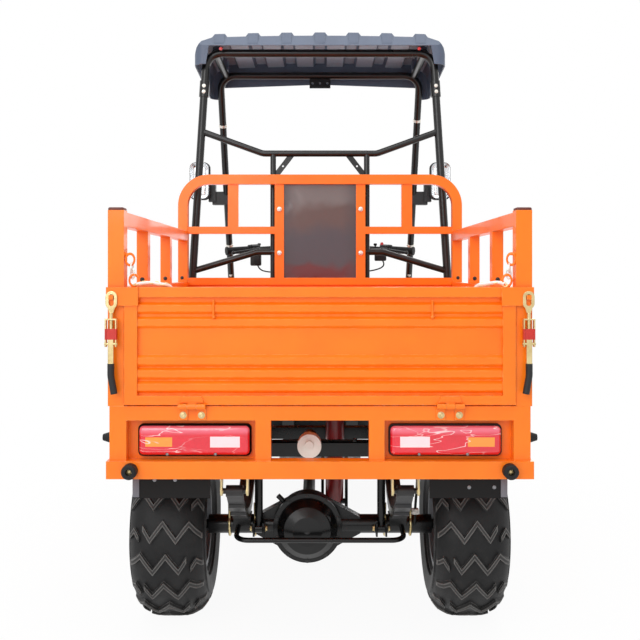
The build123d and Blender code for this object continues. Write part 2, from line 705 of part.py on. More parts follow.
with BuildPart() as cage_front_hoop:
    tube_path(
        [
            (-FRONT_HOOP_X, FRONT_FOOT_Y, FRONT_FOOT_Z),
            (-FRONT_HOOP_X, FRONT_HOOP_Y, CAGE_TOP_Z),
            (FRONT_HOOP_X, FRONT_HOOP_Y, CAGE_TOP_Z),
            (FRONT_HOOP_X, FRONT_FOOT_Y, FRONT_FOOT_Z),
        ],
        CAGE_TUBE / 2,
        CAGE_BEND,
    )
    block((-50, 50), (FRONT_HOOP_Y - 3, FRONT_HOOP_Y + 3), (CAGE_TOP_Z - 60, CAGE_TOP_Z))
    for x in (-35, 0, 35):
        rod((x, FRONT_HOOP_Y - 5, CAGE_TOP_Z - 38), (x, FRONT_HOOP_Y + 5, CAGE_TOP_Z - 38), 5, mode=Mode.SUBTRACT)
    add(chassis_frame.part, mode=Mode.SUBTRACT)
save(cage_front_hoop, "cage_front_hoop")
for name, side in SIDES:
    with BuildPart() as cage_rail:
        x = side * CAGE_RAIL_X
        rod((x, HOOP_Y, CAGE_TOP_Z), (x, FRONT_HOOP_Y, CAGE_TOP_Z), CAGE_TUBE / 2)
        add(cage_rear_hoop.part, mode=Mode.SUBTRACT)
        add(cage_front_hoop.part, mode=Mode.SUBTRACT)
    save(cage_rail, f"cage_rail_{name}")

# Roof
def roof_line(wall):
    """The crowned and ridged section of the roof, drawn in by a wall, from skirt to skirt."""
    half = ROOF_HALF - wall

    def crown(x):
        return ROOF_RIDGE - RIDGE_H - wall - ROOF_CROWN * (x / ROOF_HALF) ** 2

    fall = crown(half - ROOF_SHOULDER)
    edge = [(half, ROOF_SKIRT_FRONT - 1), (half, fall - 74), (half - 9, fall - 46), (half - 30, fall - 18)]
    ridges = []
    for n in range(RIDGE_COUNT):
        x = (n - (RIDGE_COUNT - 1) / 2) * RIDGE_PITCH
        for offset, rise in ((-RIDGE_BASE_W / 2, 0), (-RIDGE_TOP_W / 2, RIDGE_H)):
            ridges.append((x + offset, crown(x + offset) + rise))
        for offset, rise in ((RIDGE_TOP_W / 2, RIDGE_H), (RIDGE_BASE_W / 2, 0)):
            ridges.append((x + offset, crown(x + offset) + rise))
    return [(-x, z) for x, z in edge] + ridges + edge[::-1]


def roof_body(wall):
    """The roof as a full body, drawn in by a wall all round."""
    rear = ROOF_REAR + wall
    front = ROOF_FRONT - wall
    with BuildPart(mode=Mode.PRIVATE) as body:
        cross_plate(roof_line(wall), (rear, front))
        with BuildSketch(Plane.XY.offset(ROOF_SKIRT_FRONT - 10)) as plan:
            with Locations((0, (rear + front) / 2)):
                RectangleRounded(2 * (ROOF_HALF - wall), front - rear, ROOF_CORNER - wall)
        extrude(plan.sketch, amount=300, mode=Mode.INTERSECT)
        slope = [(rear - 1, ROOF_LIP_REAR), (rear - 1, ROOF_RIDGE + 20), (rear + ROOF_SLOPE, ROOF_RIDGE + 20)]
        side_plate(slope, (-ROOF_HALF - 1, ROOF_HALF + 1), mode=Mode.SUBTRACT)
    return body.part


with BuildPart() as roof:
    add(roof_body(0))
    add(roof_body(ROOF_SHEET), mode=Mode.SUBTRACT)
    crest = ROOF_REAR + ROOF_SLOPE * (ROOF_RIDGE - ROOF_LIP_REAR) / (ROOF_RIDGE + 20 - ROOF_LIP_REAR)
    for n in range(RIDGE_COUNT):
        x = (n - (RIDGE_COUNT - 1) / 2) * RIDGE_PITCH
        top = ROOF_RIDGE - ROOF_CROWN * (x / ROOF_HALF) ** 2
        end = [(crest + 6, top), (crest - RIDGE_END_H, top - 3), (ROOF_REAR + 4, ROOF_LIP_REAR + 10), (crest + 6, top - 18)]
        side_plate(end, (x - RIDGE_TOP_W / 2, x + RIDGE_TOP_W / 2))
    skirt = [
        (ROOF_REAR - 1, ROOF_SKIRT_FRONT - 9), (ROOF_REAR - 1, ROOF_SKIRT_REAR),
        (ROOF_FRONT + 1, ROOF_SKIRT_FRONT), (ROOF_FRONT + 1, ROOF_SKIRT_FRONT - 9),
    ]
    side_plate(skirt, (-ROOF_HALF - 1, ROOF_HALF + 1), mode=Mode.SUBTRACT)
    opening = ROOF_HALF - ROOF_CORNER
    rear_gap = [(-opening, ROOF_SKIRT_REAR - 60), (-opening + 24, ROOF_LIP_REAR), (opening - 24, ROOF_LIP_REAR)]
    cross_plate(rear_gap + [(opening, ROOF_SKIRT_REAR - 60)], (ROOF_REAR - 1, ROOF_REAR + ROOF_CORNER), mode=Mode.SUBTRACT)
    front_gap = [
        (-opening, ROOF_SKIRT_FRONT - 9), (-opening + 12, ROOF_LIP_FRONT), (0, ROOF_LIP_FRONT + ROOF_LIP_ARCH),
        (opening - 12, ROOF_LIP_FRONT), (opening, ROOF_SKIRT_FRONT - 9),
    ]
    cross_plate(front_gap, (ROOF_FRONT - ROOF_CORNER, ROOF_FRONT + 1), mode=Mode.SUBTRACT)
    for y in (0, 240):
        pad_top = ROOF_RIDGE - RIDGE_H - ROOF_CROWN
        both((CAGE_RAIL_X - 20, CAGE_RAIL_X + 20), (y - 25, y + 25), (CAGE_TOP_Z, pad_top - ROOF_SHEET + 3))
    for name, side in SIDES:
        x = side * CAGE_RAIL_X
        rod((x, -50, CAGE_TOP_Z), (x, 290, CAGE_TOP_Z), CAGE_TUBE / 2, mode=Mode.SUBTRACT)
        under = (CAGE_TOP_Z - 30, CAGE_TOP_Z + 2)
        block((x - side * 50, x + side * 50), (-60, 300), under, mode=Mode.SUBTRACT)
save(roof, "roof")

# Mirrors clamped on the front posts
rake = (FRONT_FOOT_Y - FRONT_HOOP_Y) / (CAGE_TOP_Z - FRONT_FOOT_Z)
for name, side in SIDES:
    with BuildPart() as mirror:
        clamp_z = MIRROR_CLAMP_Z
        clamp_y = FRONT_HOOP_Y + (CAGE_TOP_Z - clamp_z) * rake
        block(
            (side * (MIRROR_X - MIRROR_W / 2), side * (MIRROR_X + MIRROR_W / 2)),
            (clamp_y - 60, clamp_y - 36),
            (MIRROR_Z - MIRROR_H / 2, MIRROR_Z + MIRROR_H / 2),
        )
        fillet(mirror.edges().filter_by(Axis.Y), 30)
        low = clamp_z - MIRROR_CLAMP_H / 2
        block((side * (FRONT_HOOP_X - 22), side * MIRROR_ARM_X), (clamp_y - 26, clamp_y + 26), (low, low + MIRROR_CLAMP_H))
        arm_x = (side * (MIRROR_ARM_X - MIRROR_ARM_W / 2), side * (MIRROR_ARM_X + MIRROR_ARM_W / 2))
        block(arm_x, (clamp_y - 36, clamp_y + 4), (low + 14, MIRROR_ARM_TOP))
        rod((side * MIRROR_ARM_X, clamp_y - 16, MIRROR_Z - 25), (side * MIRROR_X, clamp_y - 44, MIRROR_Z - 10), 12)
        add(cage_front_hoop.part, mode=Mode.SUBTRACT)
    save(mirror, f"mirror_{name}")

# Steering
with BuildPart() as handlebar:
    head = Vector(0, STEM_HEAD_Y, STEM_HEAD_Z)
    rod(stem_foot - stem_dir * 60, head, STEM_R)
    knee_z = GRIP_Z + BAR_RISE
    half_bar = [(GRIP_X, GRIP_Y, GRIP_Z), (BAR_KNEE_X, BAR_KNEE_Y, knee_z), (90, STEM_HEAD_Y, STEM_HEAD_Z)]
    tube_path([(-x, y, z) for x, y, z in half_bar] + half_bar[::-1], BAR_TUBE / 2, 40)
    side_plate([(756, 268), (834, 268), (834, 280), (756, 280)], (-14, 14))
    for side in (-1, 1):
        end = Vector(side * GRIP_X, GRIP_Y, GRIP_Z)
        run = (Vector(side * BAR_KNEE_X, BAR_KNEE_Y, knee_z) - end).normalized()
        ahead = Vector(0, 0, 1).cross(run) * side
        # Switch box and lever ahead of the grip
        root = end + run * (GRIP_LENGTH + 24)
        rod(root - run * 20, root + run * 20, 24)
        pivot = root + ahead * 40
        rod(root, pivot, 9)
        tip = end + run * 12 + ahead * 58 - Vector(0, 0, 10)
        rod(pivot, tip, LEVER_R)
        with Locations(pivot, tip):
            Sphere(LEVER_BALL_R)
    # Instrument pod over the clamp
    with BuildSketch(Plane(origin=head - stem_dir * 14, x_dir=(1, 0, 0), z_dir=stem_dir)) as pod:
        RectangleRounded(POD_W, POD_H, 24)
    extrude(pod.sketch, amount=POD_T + 14, taper=12)
save(handlebar, "handlebar")
with BuildPart() as handlebar_grips:
    for side in (-1, 1):
        end = Vector(side * GRIP_X, GRIP_Y, GRIP_Z)
        run = (Vector(side * BAR_KNEE_X, BAR_KNEE_Y, knee_z) - end).normalized()
        rod(end - run * 4, end + run * GRIP_LENGTH, GRIP_R)
        rod(end + run * (GRIP_LENGTH - 8), end + run * GRIP_LENGTH, GRIP_R + 6)
        rod(end - run * 4, end + run * 4, GRIP_R + 3)
    add(handlebar.part, mode=Mode.SUBTRACT)
save(handlebar_grips, "handlebar_grips")

for name, side in SIDES:
    with BuildPart() as knuckle:
        x = side * KING_X
        block((x - 15, x + 15), (FRONT_AXLE_Y - 20, FRONT_AXLE_Y + 20), (212, 348))
        rod((x, FRONT_AXLE_Y, 174), (x, FRONT_AXLE_Y, 386), KING_R)
        rod((x, FRONT_AXLE_Y, WHEEL_R), (side * 480, FRONT_AXLE_Y, WHEEL_R), SPINDLE_R - 2)
        arm_z = (TRACK_ROD_Z + 14, TRACK_ROD_Z + 28)
        block((side * (ARM_X - 12), side * (KING_X - 14)), (FRONT_AXLE_Y - 14, FRONT_AXLE_Y + 14), arm_z)
        arm_y = (FRONT_AXLE_Y - ARM_LENGTH - 14, FRONT_AXLE_Y + 14)
        block((side * (ARM_X - 12), side * (ARM_X + 12)), arm_y, arm_z)
    save(knuckle, f"knuckle_{name}")
with BuildPart() as track_rod:
    y = FRONT_AXLE_Y - ARM_LENGTH
    rod((-ARM_X, y, TRACK_ROD_Z), (ARM_X, y, TRACK_ROD_Z), TRACK_ROD_D / 2)
    for x in (-ARM_X, ARM_X):
        rod((x, y, TRACK_ROD_Z - 12), (x, y, TRACK_ROD_Z + 13.4), 11)
save(track_rod, "track_rod")

# Wheels
WHEELS = (
    # end, axle y, half track, tyre width, disc offset, hub inner end
    ("rear", REAR_AXLE_Y, REAR_TRACK_HALF, REAR_TYRE_W, 10, -80),
    ("front", FRONT_AXLE_Y, FRONT_TRACK_HALF, FRONT_TYRE_W, 15, -46),
)
LUG_LINES = {
    # centre line of one lug, as (share of the half width, run round the tyre)
    "rear": ((-0.48, -25), (0.03, 28), (0.5, -26), (0.85, 10)),
    "front": ((-0.62, -24), (0.05, 26), (0.8, -24)),
}
for end, axle_y, half_track, width, disc, hub_in in WHEELS:
    half = width / 2
    bead = half - BEAD_INSET
    tread = WHEEL_R - LUG_H
    wall = [(-bead, RIM_R + RIM_FLANGE + 2), (-half, WHEEL_R - 75), (-half + 26, tread - 20), (-half + 70, tread)]
    skin = [(-half + 3, WHEEL_R - 62), (-half + 24, WHEEL_R - 20), (-half + 70, WHEEL_R)]
    for name, side in SIDES:
        centre = (side * half_track, axle_y, WHEEL_R)
        with BuildPart() as tyre:
            faceted(wall + [(-x, r) for x, r in reversed(wall)], centre)
            with BuildPart(mode=Mode.PRIVATE) as lugs:
                for row in range(LUG_ROWS[end]):
                    flip = side if row % 2 else -side
                    turn = 2 * pi * (row + 0.5) / LUG_ROWS[end]
                    out = Vector(0, cos(turn), sin(turn))
                    with BuildSketch(Plane(origin=Vector(*centre) + out * 200, x_dir=(1, 0, 0), z_dir=out)) as lug:
                        line = [(flip * share * half, run) for share, run in LUG_LINES[end]]
                        over = [(x, run + LUG_W / 2) for x, run in line]
                        Polygon(*over, *[(x, run - LUG_W / 2) for x, run in reversed(line)], align=None)
                    extrude(lug.sketch, amount=WHEEL_R - 180)
                faceted(skin + [(-x, r) for x, r in reversed(skin)], centre, mode=Mode.INTERSECT)
            add(lugs.part)
            seat = (RIM_R + TYRE_FIT) / cos(pi / TYRE_SIDES)
            faceted([(-bead - 1, seat), (bead + 1, seat)], centre, mode=Mode.SUBTRACT)
        save(tyre, f"tyre_{end}_{name}")
        with BuildPart() as rim:
            barrel = [
                (-bead - RIM_WALL, RIM_R + RIM_FLANGE),
                (-bead - 0.2, RIM_R + RIM_FLANGE),
                (-bead - 0.2, RIM_R),
                (bead + 0.2, RIM_R),
                (bead + 0.2, RIM_R + RIM_FLANGE),
                (bead + RIM_WALL, RIM_R + RIM_FLANGE),
                (bead + RIM_WALL, RIM_R - RIM_WALL),
                (-bead - RIM_WALL, RIM_R - RIM_WALL),
            ]
            turned(barrel, centre)
            bore = SPINDLE_R + BEARING_GAP if end == "rear" else SPINDLE_R - 2 + BEARING_GAP
            face = [(disc, bore), (disc, 70), (disc + DISH_DEPTH, 90), (disc + DISH_DEPTH, RIM_R - 2)]
            plate = face + [(x + DISC_SHEET, r) for x, r in reversed(face)]
            turned([(side * x, r) for x, r in plate], centre)
            hub = [(hub_in, bore), (disc + 22, bore), (disc + 22, HUB_CAP_R), (disc + 1, HUB_R), (hub_in, HUB_R)]
            turned([(side * x, r) for x, r in hub], centre)
            cap = [(disc + 21, 0), (disc + 26, 0), (disc + 21.5, HUB_CAP_R)]
            turned([(side * x, r) for x, r in cap], centre)
            if end == "rear":
                drum = [(hub_in + 14, bore), (hub_in + 14, DRUM_R), (disc - 20, DRUM_R), (disc - 20, bore)]
                turned([(side * x, r) for x, r in drum], centre)
            for n in range(RIM_HOLE_COUNT):
                turn = 2 * pi * n / RIM_HOLE_COUNT
                spot = (centre[1] + RIM_HOLE_CIRCLE_R * cos(turn), centre[2] + RIM_HOLE_CIRCLE_R * sin(turn))
                ends = (centre[0] + side * (disc + 8), centre[0] + side * (disc + DISH_DEPTH + 12))
                rod((ends[0], *spot), (ends[1], *spot), RIM_HOLE_R, mode=Mode.SUBTRACT)
            for n in range(STUD_COUNT):
                turn = 2 * pi * (n + 0.5) / STUD_COUNT
                spot = (centre[1] + STUD_CIRCLE_R * cos(turn), centre[2] + STUD_CIRCLE_R * sin(turn))
                start = (centre[0] + side * (disc + DISC_SHEET - 1), *spot)
                with BuildSketch(Plane(origin=start, z_dir=(side, 0, 0))) as nut:
                    RegularPolygon(STUD_R, 6)
                extrude(nut.sketch, amount=15)
        save(rim, f"rim_{end}_{name}")

# Bed floor
BEARERS = (-1330, -1130, -860, -620, -400)
with BuildPart() as bed_floor:
    block((-GATE_HALF, GATE_HALF), (-1448, -215), (DECK_Z - DECK_SHEET, DECK_Z))
    both((SILL_OUT - SILL_W, SILL_OUT), (-1448, -215), (DECK_Z - SILL_H, DECK_Z))
    mat_half = GATE_HALF - DECK_INSET
    block((-mat_half, mat_half), (-1448 + DECK_INSET, -215 - DECK_INSET), (DECK_Z, DECK_Z + DECK_MAT))
    both((RAIL_X - 25, RAIL_X + 25), (-1440, -260), (RAIL_TOP + LONGERON_GAP, DECK_Z - DECK_SHEET))
    for y in BEARERS:
        block((-SILL_OUT + SILL_W, SILL_OUT - SILL_W), (y - 20, y + 20), (DECK_Z - DECK_SHEET - 40, DECK_Z - DECK_SHEET))
    for x0 in (LIFT_X - 38, LIFT_X + 30):
        block((x0, x0 + 8), (LIFT_HEAD_Y - 30, LIFT_HEAD_Y + 30), (LIFT_HEAD_Z - 18, DECK_Z - DECK_SHEET))
    rod((LIFT_X - 38, LIFT_HEAD_Y, LIFT_HEAD_Z), (LIFT_X + 38, LIFT_HEAD_Y, LIFT_HEAD_Z), LIFT_PIN_R)
    # Side hinges
    for side in (-1, 1):
        for y in (-1300, -830, -360):
            for y0 in (y - 38, y + 13):
                rod((side * SIDE_HINGE_X, y0, SIDE_HINGE_Z), (side * SIDE_HINGE_X, y0 + 25, SIDE_HINGE_Z), HINGE_R)
                block((side * SILL_OUT, side * SIDE_HINGE_X), (y0, y0 + 25), (SIDE_HINGE_Z - 8, SIDE_HINGE_Z - 2))
            rod((side * SIDE_HINGE_X, y - 38, SIDE_HINGE_Z), (side * SIDE_HINGE_X, y + 38, SIDE_HINGE_Z), HINGE_PIN_R)
save(bed_floor, "bed_floor")

# Tail frame under the gate
GATE_HINGES = (-355, 362)
TAIL_HALF = 587
with BuildPart() as tail_frame:
    block((-BED_HALF, BED_HALF), (BED_REAR, BED_REAR + 50), (BEAM_BOTTOM, BEAM_TOP))
    block((-TAIL_HALF, TAIL_HALF), (POST_REAR, POST_REAR + 40), (TAIL_RAIL_BOTTOM, DECK_Z))
    both((540, TAIL_HALF), (POST_REAR, POST_REAR + 40), (BEAM_TOP, TAIL_RAIL_BOTTOM))
    both((137, 180), (POST_REAR, POST_REAR + 40), (BEAM_TOP, TAIL_RAIL_BOTTOM))
    both((180, 540), (-1453, -1450), (BEAM_TOP, TAIL_RAIL_BOTTOM))
    for side in (-1, 1):
        # Cheeks of the bed pivot
        for x0 in (RAIL_X - 22, RAIL_X + 12):
            x = (side * x0, side * (x0 + 10))
            block(x, (BED_REAR + 49, TILT_Y), (TILT_Z - 18, TILT_Z + 18))
            rod((x[0], TILT_Y, TILT_Z), (x[1], TILT_Y, TILT_Z), 18)
            rod((x[0], TILT_Y, TILT_Z), (x[1], TILT_Y, TILT_Z), TILT_PIN_R + BEARING_GAP, mode=Mode.SUBTRACT)
    for x in GATE_HINGES:
        for x0 in (x - 38, x + 13):
            rod((x0, GATE_HINGE_Y, GATE_HINGE_Z), (x0 + 25, GATE_HINGE_Y, GATE_HINGE_Z), HINGE_R)
            block((x0, x0 + 25), (GATE_HINGE_Y, POST_REAR), (GATE_HINGE_Z - 8, GATE_HINGE_Z - 2))
            block((x0, x0 + 25), (POST_REAR - 6, POST_REAR), (TAIL_RAIL_BOTTOM + 2, GATE_HINGE_Z - 2))
        rod((x - 38, GATE_HINGE_Y, GATE_HINGE_Z), (x + 38, GATE_HINGE_Y, GATE_HINGE_Z), HINGE_PIN_R)
save(tail_frame, "tail_frame")

# Tail lamps, buffers and mudflaps
for name, side in SIDES:
    with BuildPart() as tail_lamp:
        x = side * LAMP_X
        block((x - LAMP_W / 2, x + LAMP_W / 2), (-1453 - LAMP_T, -1453), (LAMP_Z - LAMP_H / 2, LAMP_Z + LAMP_H / 2))
        fillet(tail_lamp.edges().filter_by(Axis.Y), 12)
    save(tail_lamp, f"tail_lamp_{name}")
with BuildPart() as bed_buffers:
    for side in (-1, 1):
        ring = [(0, -BUFFER_LENGTH), (BUFFER_R - 5, -BUFFER_LENGTH), (BUFFER_R, -BUFFER_LENGTH + 5), (BUFFER_R, 0), (0, 0)]
        spun(ring, (side * BUFFER_X, BED_REAR, BUFFER_Z))
        rod((side * BUFFER_X, BED_REAR - BUFFER_LENGTH - 1, BUFFER_Z), (side * BUFFER_X, BED_REAR - 12, BUFFER_Z), 9, mode=Mode.SUBTRACT)
        with Locations(Plane(origin=(side * TAIL_HALF, POST_REAR + 20, SIDE_BUFFER_Z), z_dir=(side, 0, 0)).location):
            Cone(16, 9, 22, align=(Align.CENTER, Align.CENTER, Align.MIN))
save(bed_buffers, "bed_buffers")
with BuildPart() as mudflaps:
    both((310, 530), (-1450, -1445), (456, BEAM_TOP - 4))
save(mudflaps, "mudflaps")
with BuildPart() as corner_posts:
    both((546.5, 546.5 + POST_W), (POST_REAR, POST_REAR + POST_W), (DECK_Z, POST_TOP))
save(corner_posts, "corner_posts")

# Headboard
with BuildPart() as headboard:
    y = (HEADBOARD_Y - HEADBOARD_TUBE / 2, HEADBOARD_Y + HEADBOARD_TUBE / 2)
    tall = HEADBOARD_TOP - DECK_Z + 200
    with BuildSketch(Plane.XZ.offset(-y[1])) as arch:
        with Locations((0, HEADBOARD_TOP - tall / 2)):
            RectangleRounded(2 * BED_HALF, tall, HEADBOARD_ROUND)
            RectangleRounded(
                2 * (BED_HALF - HEADBOARD_TUBE),
                tall - 2 * HEADBOARD_TUBE,
                HEADBOARD_ROUND - HEADBOARD_TUBE,
                mode=Mode.SUBTRACT,
            )
        with Locations((0, DECK_Z)):
            Rectangle(2 * BED_HALF + 10, 400, align=(Align.CENTER, Align.MAX), mode=Mode.SUBTRACT)
    extrude(arch.sketch, amount=HEADBOARD_TUBE)
    inner = BED_HALF - HEADBOARD_TUBE
    y_bar = (HEADBOARD_Y - 15, HEADBOARD_Y + 15)
    block((-inner, inner), y_bar, (MIDBAR_BOTTOM, MIDBAR_TOP))
    block((-inner, inner), y_bar, (HEADBOARD_SILL - 30, HEADBOARD_SILL))
    block((-inner, inner), y_bar, (DECK_Z, DECK_Z + 30))
    block((-inner, inner), (HEADBOARD_Y - 2, HEADBOARD_Y + 2), (DECK_Z, HEADBOARD_SILL))
    both((342, 386), y_bar, (MIDBAR_TOP, HEADBOARD_TOP - HEADBOARD_TUBE))
    both((PANEL_HALF, 190), y_bar, (HEADBOARD_SILL, HEADBOARD_TOP - HEADBOARD_TUBE))
    block((-PANEL_HALF, PANEL_HALF), y_bar, (MIDBAR_BOTTOM, MIDBAR_TOP), mode=Mode.SUBTRACT)
save(headboard, "headboard")
with BuildPart() as headboard_panel:
    block(
        (-PANEL_HALF, PANEL_HALF),
        (HEADBOARD_Y - 3, HEADBOARD_Y + 3),
        (HEADBOARD_SILL, HEADBOARD_TOP - HEADBOARD_TUBE),
    )
save(headboard_panel, "headboard_panel")


def ribbed(start, end, ribs, depth, sheet):
    """The section of a sheet with pressed ribs, as (height, depth) points."""
    front = [(start, 0)]
    for middle, half in ribs:
        front += [(middle - half, 0), (middle - half + 8, -depth)]
        front += [(middle + half - 8, -depth), (middle + half, 0)]
    front.append((end, 0))
    return front + [(h, d + sheet) for h, d in reversed(front)]


GATE_RIBS = ((775, 17), (812, 17), (848, 17), (955, 17), (995, 17))
GATE_BOTTOM = DECK_Z + GATE_GAP
with BuildPart() as tailgate:
    y = (GATE_REAR, GATE_REAR + GATE_T)
    both((GATE_HALF - 36, GATE_HALF), y, (GATE_BOTTOM, GATE_TOP))
    block((-GATE_HALF, GATE_HALF), y, (GATE_TOP - 28, GATE_TOP))
    block((-GATE_HALF, GATE_HALF), y, (GATE_BOTTOM, GATE_BOTTOM + 26))
    skin = ribbed(GATE_BOTTOM, GATE_TOP - 10, GATE_RIBS, 10, 3)
    side_plate([(GATE_REAR + 14 + d, h) for h, d in skin], (-GATE_HALF + 10, GATE_HALF - 10))
    both((505, BED_HALF), (BED_REAR, GATE_REAR), (1002, GATE_TOP))
    catch = (LATCH_X - CATCH_W / 2, LATCH_X + CATCH_W / 2)
    both(catch, (BED_REAR - 13, BED_REAR), (LATCH_EYE_Z + 2, LATCH_EYE_Z + 14))
    for x in GATE_HINGES:
        block((x - 12, x + 12), (GATE_HINGE_Y, GATE_REAR), (GATE_HINGE_Z + 2, GATE_HINGE_Z + 8))
        block((x - 12, x + 12), (BED_REAR, GATE_REAR), (GATE_HINGE_Z + 2, GATE_HINGE_Z + 12))
        low = GATE_HINGE_Z + HINGE_LEAF_GAP
        leaf = [(x - HINGE_LEAF, low), (x + HINGE_LEAF, low)]
        leaf += [(x + HINGE_LEAF - 8, low + HINGE_LEAF_H), (x - HINGE_LEAF + 8, low + HINGE_LEAF_H)]
        cross_plate(leaf, (BED_REAR, GATE_REAR))
        rod((x - 12.5, GATE_HINGE_Y, GATE_HINGE_Z), (x + 12.5, GATE_HINGE_Y, GATE_HINGE_Z), HINGE_R)
        pin = HINGE_PIN_R + HINGE_GAP
        rod((x - 20, GATE_HINGE_Y, GATE_HINGE_Z), (x + 20, GATE_HINGE_Y, GATE_HINGE_Z), pin, mode=Mode.SUBTRACT)
save(tailgate, "tailgate")

# Drop sides
SIDE_IN = 552
SIDE_OUT = 588
SIDE_REAR = POST_REAR + POST_W + 6
SIDE_FRONT = HEADBOARD_Y - HEADBOARD_TUBE / 2 - 6
for name, side in SIDES:
    with BuildPart() as drop_side:
        x = (side * SIDE_IN, side * SIDE_OUT)
        y = (SIDE_REAR, SIDE_FRONT)
        for y0 in (SIDE_REAR, SIDE_FRONT - 36):
            block(x, (y0, y0 + 36), (GATE_BOTTOM, GATE_TOP))
        block(x, y, (GATE_TOP - 28, GATE_TOP))
        block(x, y, (GATE_BOTTOM, GATE_BOTTOM + 26))
        skin = ribbed(GATE_BOTTOM, GATE_TOP - 10, GATE_RIBS, 10, 3)
        cross_plate([(side * (SIDE_OUT - 14 - d), h) for h, d in skin], (SIDE_REAR + 10, SIDE_FRONT - 10))
        for y0 in (-1300, -830, -360):
            block((side * SIDE_OUT, side * SIDE_HINGE_X), (y0 - 12, y0 + 12), (SIDE_HINGE_Z + 2, SIDE_HINGE_Z + 8))
            block((side * SIDE_OUT, side * (SIDE_OUT + 6)), (y0 - 12, y0 + 12), (SIDE_HINGE_Z + 2, GATE_BOTTOM + 40))
            rod((side * SIDE_HINGE_X, y0 - 12.5, SIDE_HINGE_Z), (side * SIDE_HINGE_X, y0 + 12.5, SIDE_HINGE_Z), HINGE_R)
            ends = ((side * SIDE_HINGE_X, y0 - 20, SIDE_HINGE_Z), (side * SIDE_HINGE_X, y0 + 20, SIDE_HINGE_Z))
            rod(*ends, HINGE_PIN_R + HINGE_GAP, mode=Mode.SUBTRACT)
    save(drop_side, f"drop_side_{name}")
    with BuildPart() as stake_rail:
        for stake in STAKE_Y:
            block(x, (stake - STAKE_W / 2, stake + STAKE_W / 2), (GATE_TOP, RAIL_CAP_BOTTOM))
        block(x, y, (RAIL_CAP_BOTTOM, RAIL_CAP_TOP))
    save(stake_rail, f"stake_rail_{name}")

# Toggle latches on the gate
LATCH_T = 6
LATCH_BACK = BED_REAR - 2
for name, side in SIDES:
    with BuildPart() as latch:
        x = side * LATCH_X
        with BuildSketch(Plane.XZ.offset(-BED_REAR)) as loop:
            with Locations((x, LATCH_EYE_Z)):
                SlotOverall(LATCH_LOOP_H, LATCH_LOOP_W, rotation=90)
                SlotOverall(LATCH_LOOP_H - LATCH_LOOP_W + LATCH_SLOT_W, LATCH_SLOT_W, rotation=90, mode=Mode.SUBTRACT)
        extrude(loop.sketch, amount=LATCH_T)
        neck_z = LATCH_EYE_Z - LATCH_LOOP_H / 2
        neck = [(x - 10, neck_z + 4), (x + 10, neck_z + 4), (x + 5, neck_z - 12), (x - 5, neck_z - 12)]
        cross_plate(neck, (BED_REAR - LATCH_T, BED_REAR))
        shank_y = BED_REAR - LATCH_T / 2 - 3
        rod((x, shank_y, neck_z - 10), (x, shank_y, neck_z - 66), 5)
        # Open frame round the thread
        frame = (neck_z - 104, neck_z - 26)
        for x0 in (x - 16, x + 12.5):
            block((x0, x0 + 3.5), (BED_REAR - 15, BED_REAR), frame)
        block((x - 16, x + 16), (BED_REAR - 15, BED_REAR), (frame[1] - 4, frame[1]))
        block((x - 16, x + 16), (BED_REAR - 13, BED_REAR - 1), (frame[0] + 20, frame[0] + 50))
        rod((x - 18, BED_REAR - 9, frame[0] + 8), (x + 18, BED_REAR - 9, frame[0] + 8), 4)
        # Lever and its rubber grip
        block((x - 7.5, x + 7.5), (BED_REAR - 13, BED_REAR - 6), (frame[0] - 52, frame[0] + 22))
        grip_z = frame[0] - 46
        tip_x = x - side * 9
        tube_path([(x, BED_REAR - 10, grip_z), (x, BED_REAR - 10, grip_z - 34), (tip_x, BED_REAR - 10, grip_z - 84)], 9.5, 60)
    save(latch, f"tailgate_latch_{name}")

# Lift cylinder
lift_foot = Vector(LIFT_X, LIFT_FOOT_Y, LIFT_FOOT_Z)
lift_head = Vector(LIFT_X, LIFT_HEAD_Y, LIFT_HEAD_Z)
lift_run = (lift_head - lift_foot).normalized()
lift_length = (lift_head - lift_foot).length
with BuildPart() as lift_barrel:
    rod(lift_foot + lift_run * 16, lift_foot + lift_run * (lift_length - 40), LIFT_BARREL_R)
    rod((LIFT_X - 20, LIFT_FOOT_Y, LIFT_FOOT_Z), (LIFT_X + 20, LIFT_FOOT_Y, LIFT_FOOT_Z), 22)
    rod(lift_foot + lift_run * 34, lift_foot + lift_run * (lift_length - 30), LIFT_ROD_R + 0.5, mode=Mode.SUBTRACT)
    rod(
        (LIFT_X - 40, LIFT_FOOT_Y, LIFT_FOOT_Z),
        (LIFT_X + 40, LIFT_FOOT_Y, LIFT_FOOT_Z),
        TILT_PIN_R + BEARING_GAP,
        mode=Mode.SUBTRACT,
    )
save(lift_barrel, "lift_barrel")
with BuildPart() as lift_rod:
    rod(lift_foot + lift_run * 40, lift_head, LIFT_ROD_R)
    rod((LIFT_X - 20, LIFT_HEAD_Y, LIFT_HEAD_Z), (LIFT_X + 20, LIFT_HEAD_Y, LIFT_HEAD_Z), LIFT_EYE_R)
    rod(
        (LIFT_X - 30, LIFT_HEAD_Y, LIFT_HEAD_Z),
        (LIFT_X + 30, LIFT_HEAD_Y, LIFT_HEAD_Z),
        LIFT_EYE_BORE,
        mode=Mode.SUBTRACT,
    )
save(lift_rod, "lift_rod")
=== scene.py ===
"""Dress the utility quad: finishes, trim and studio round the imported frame."""

import json
import logging
import math
from dataclasses import dataclass
from enum import Enum
from typing import Callable, Iterable, Sequence

import bpy
from mathutils import Matrix, Vector

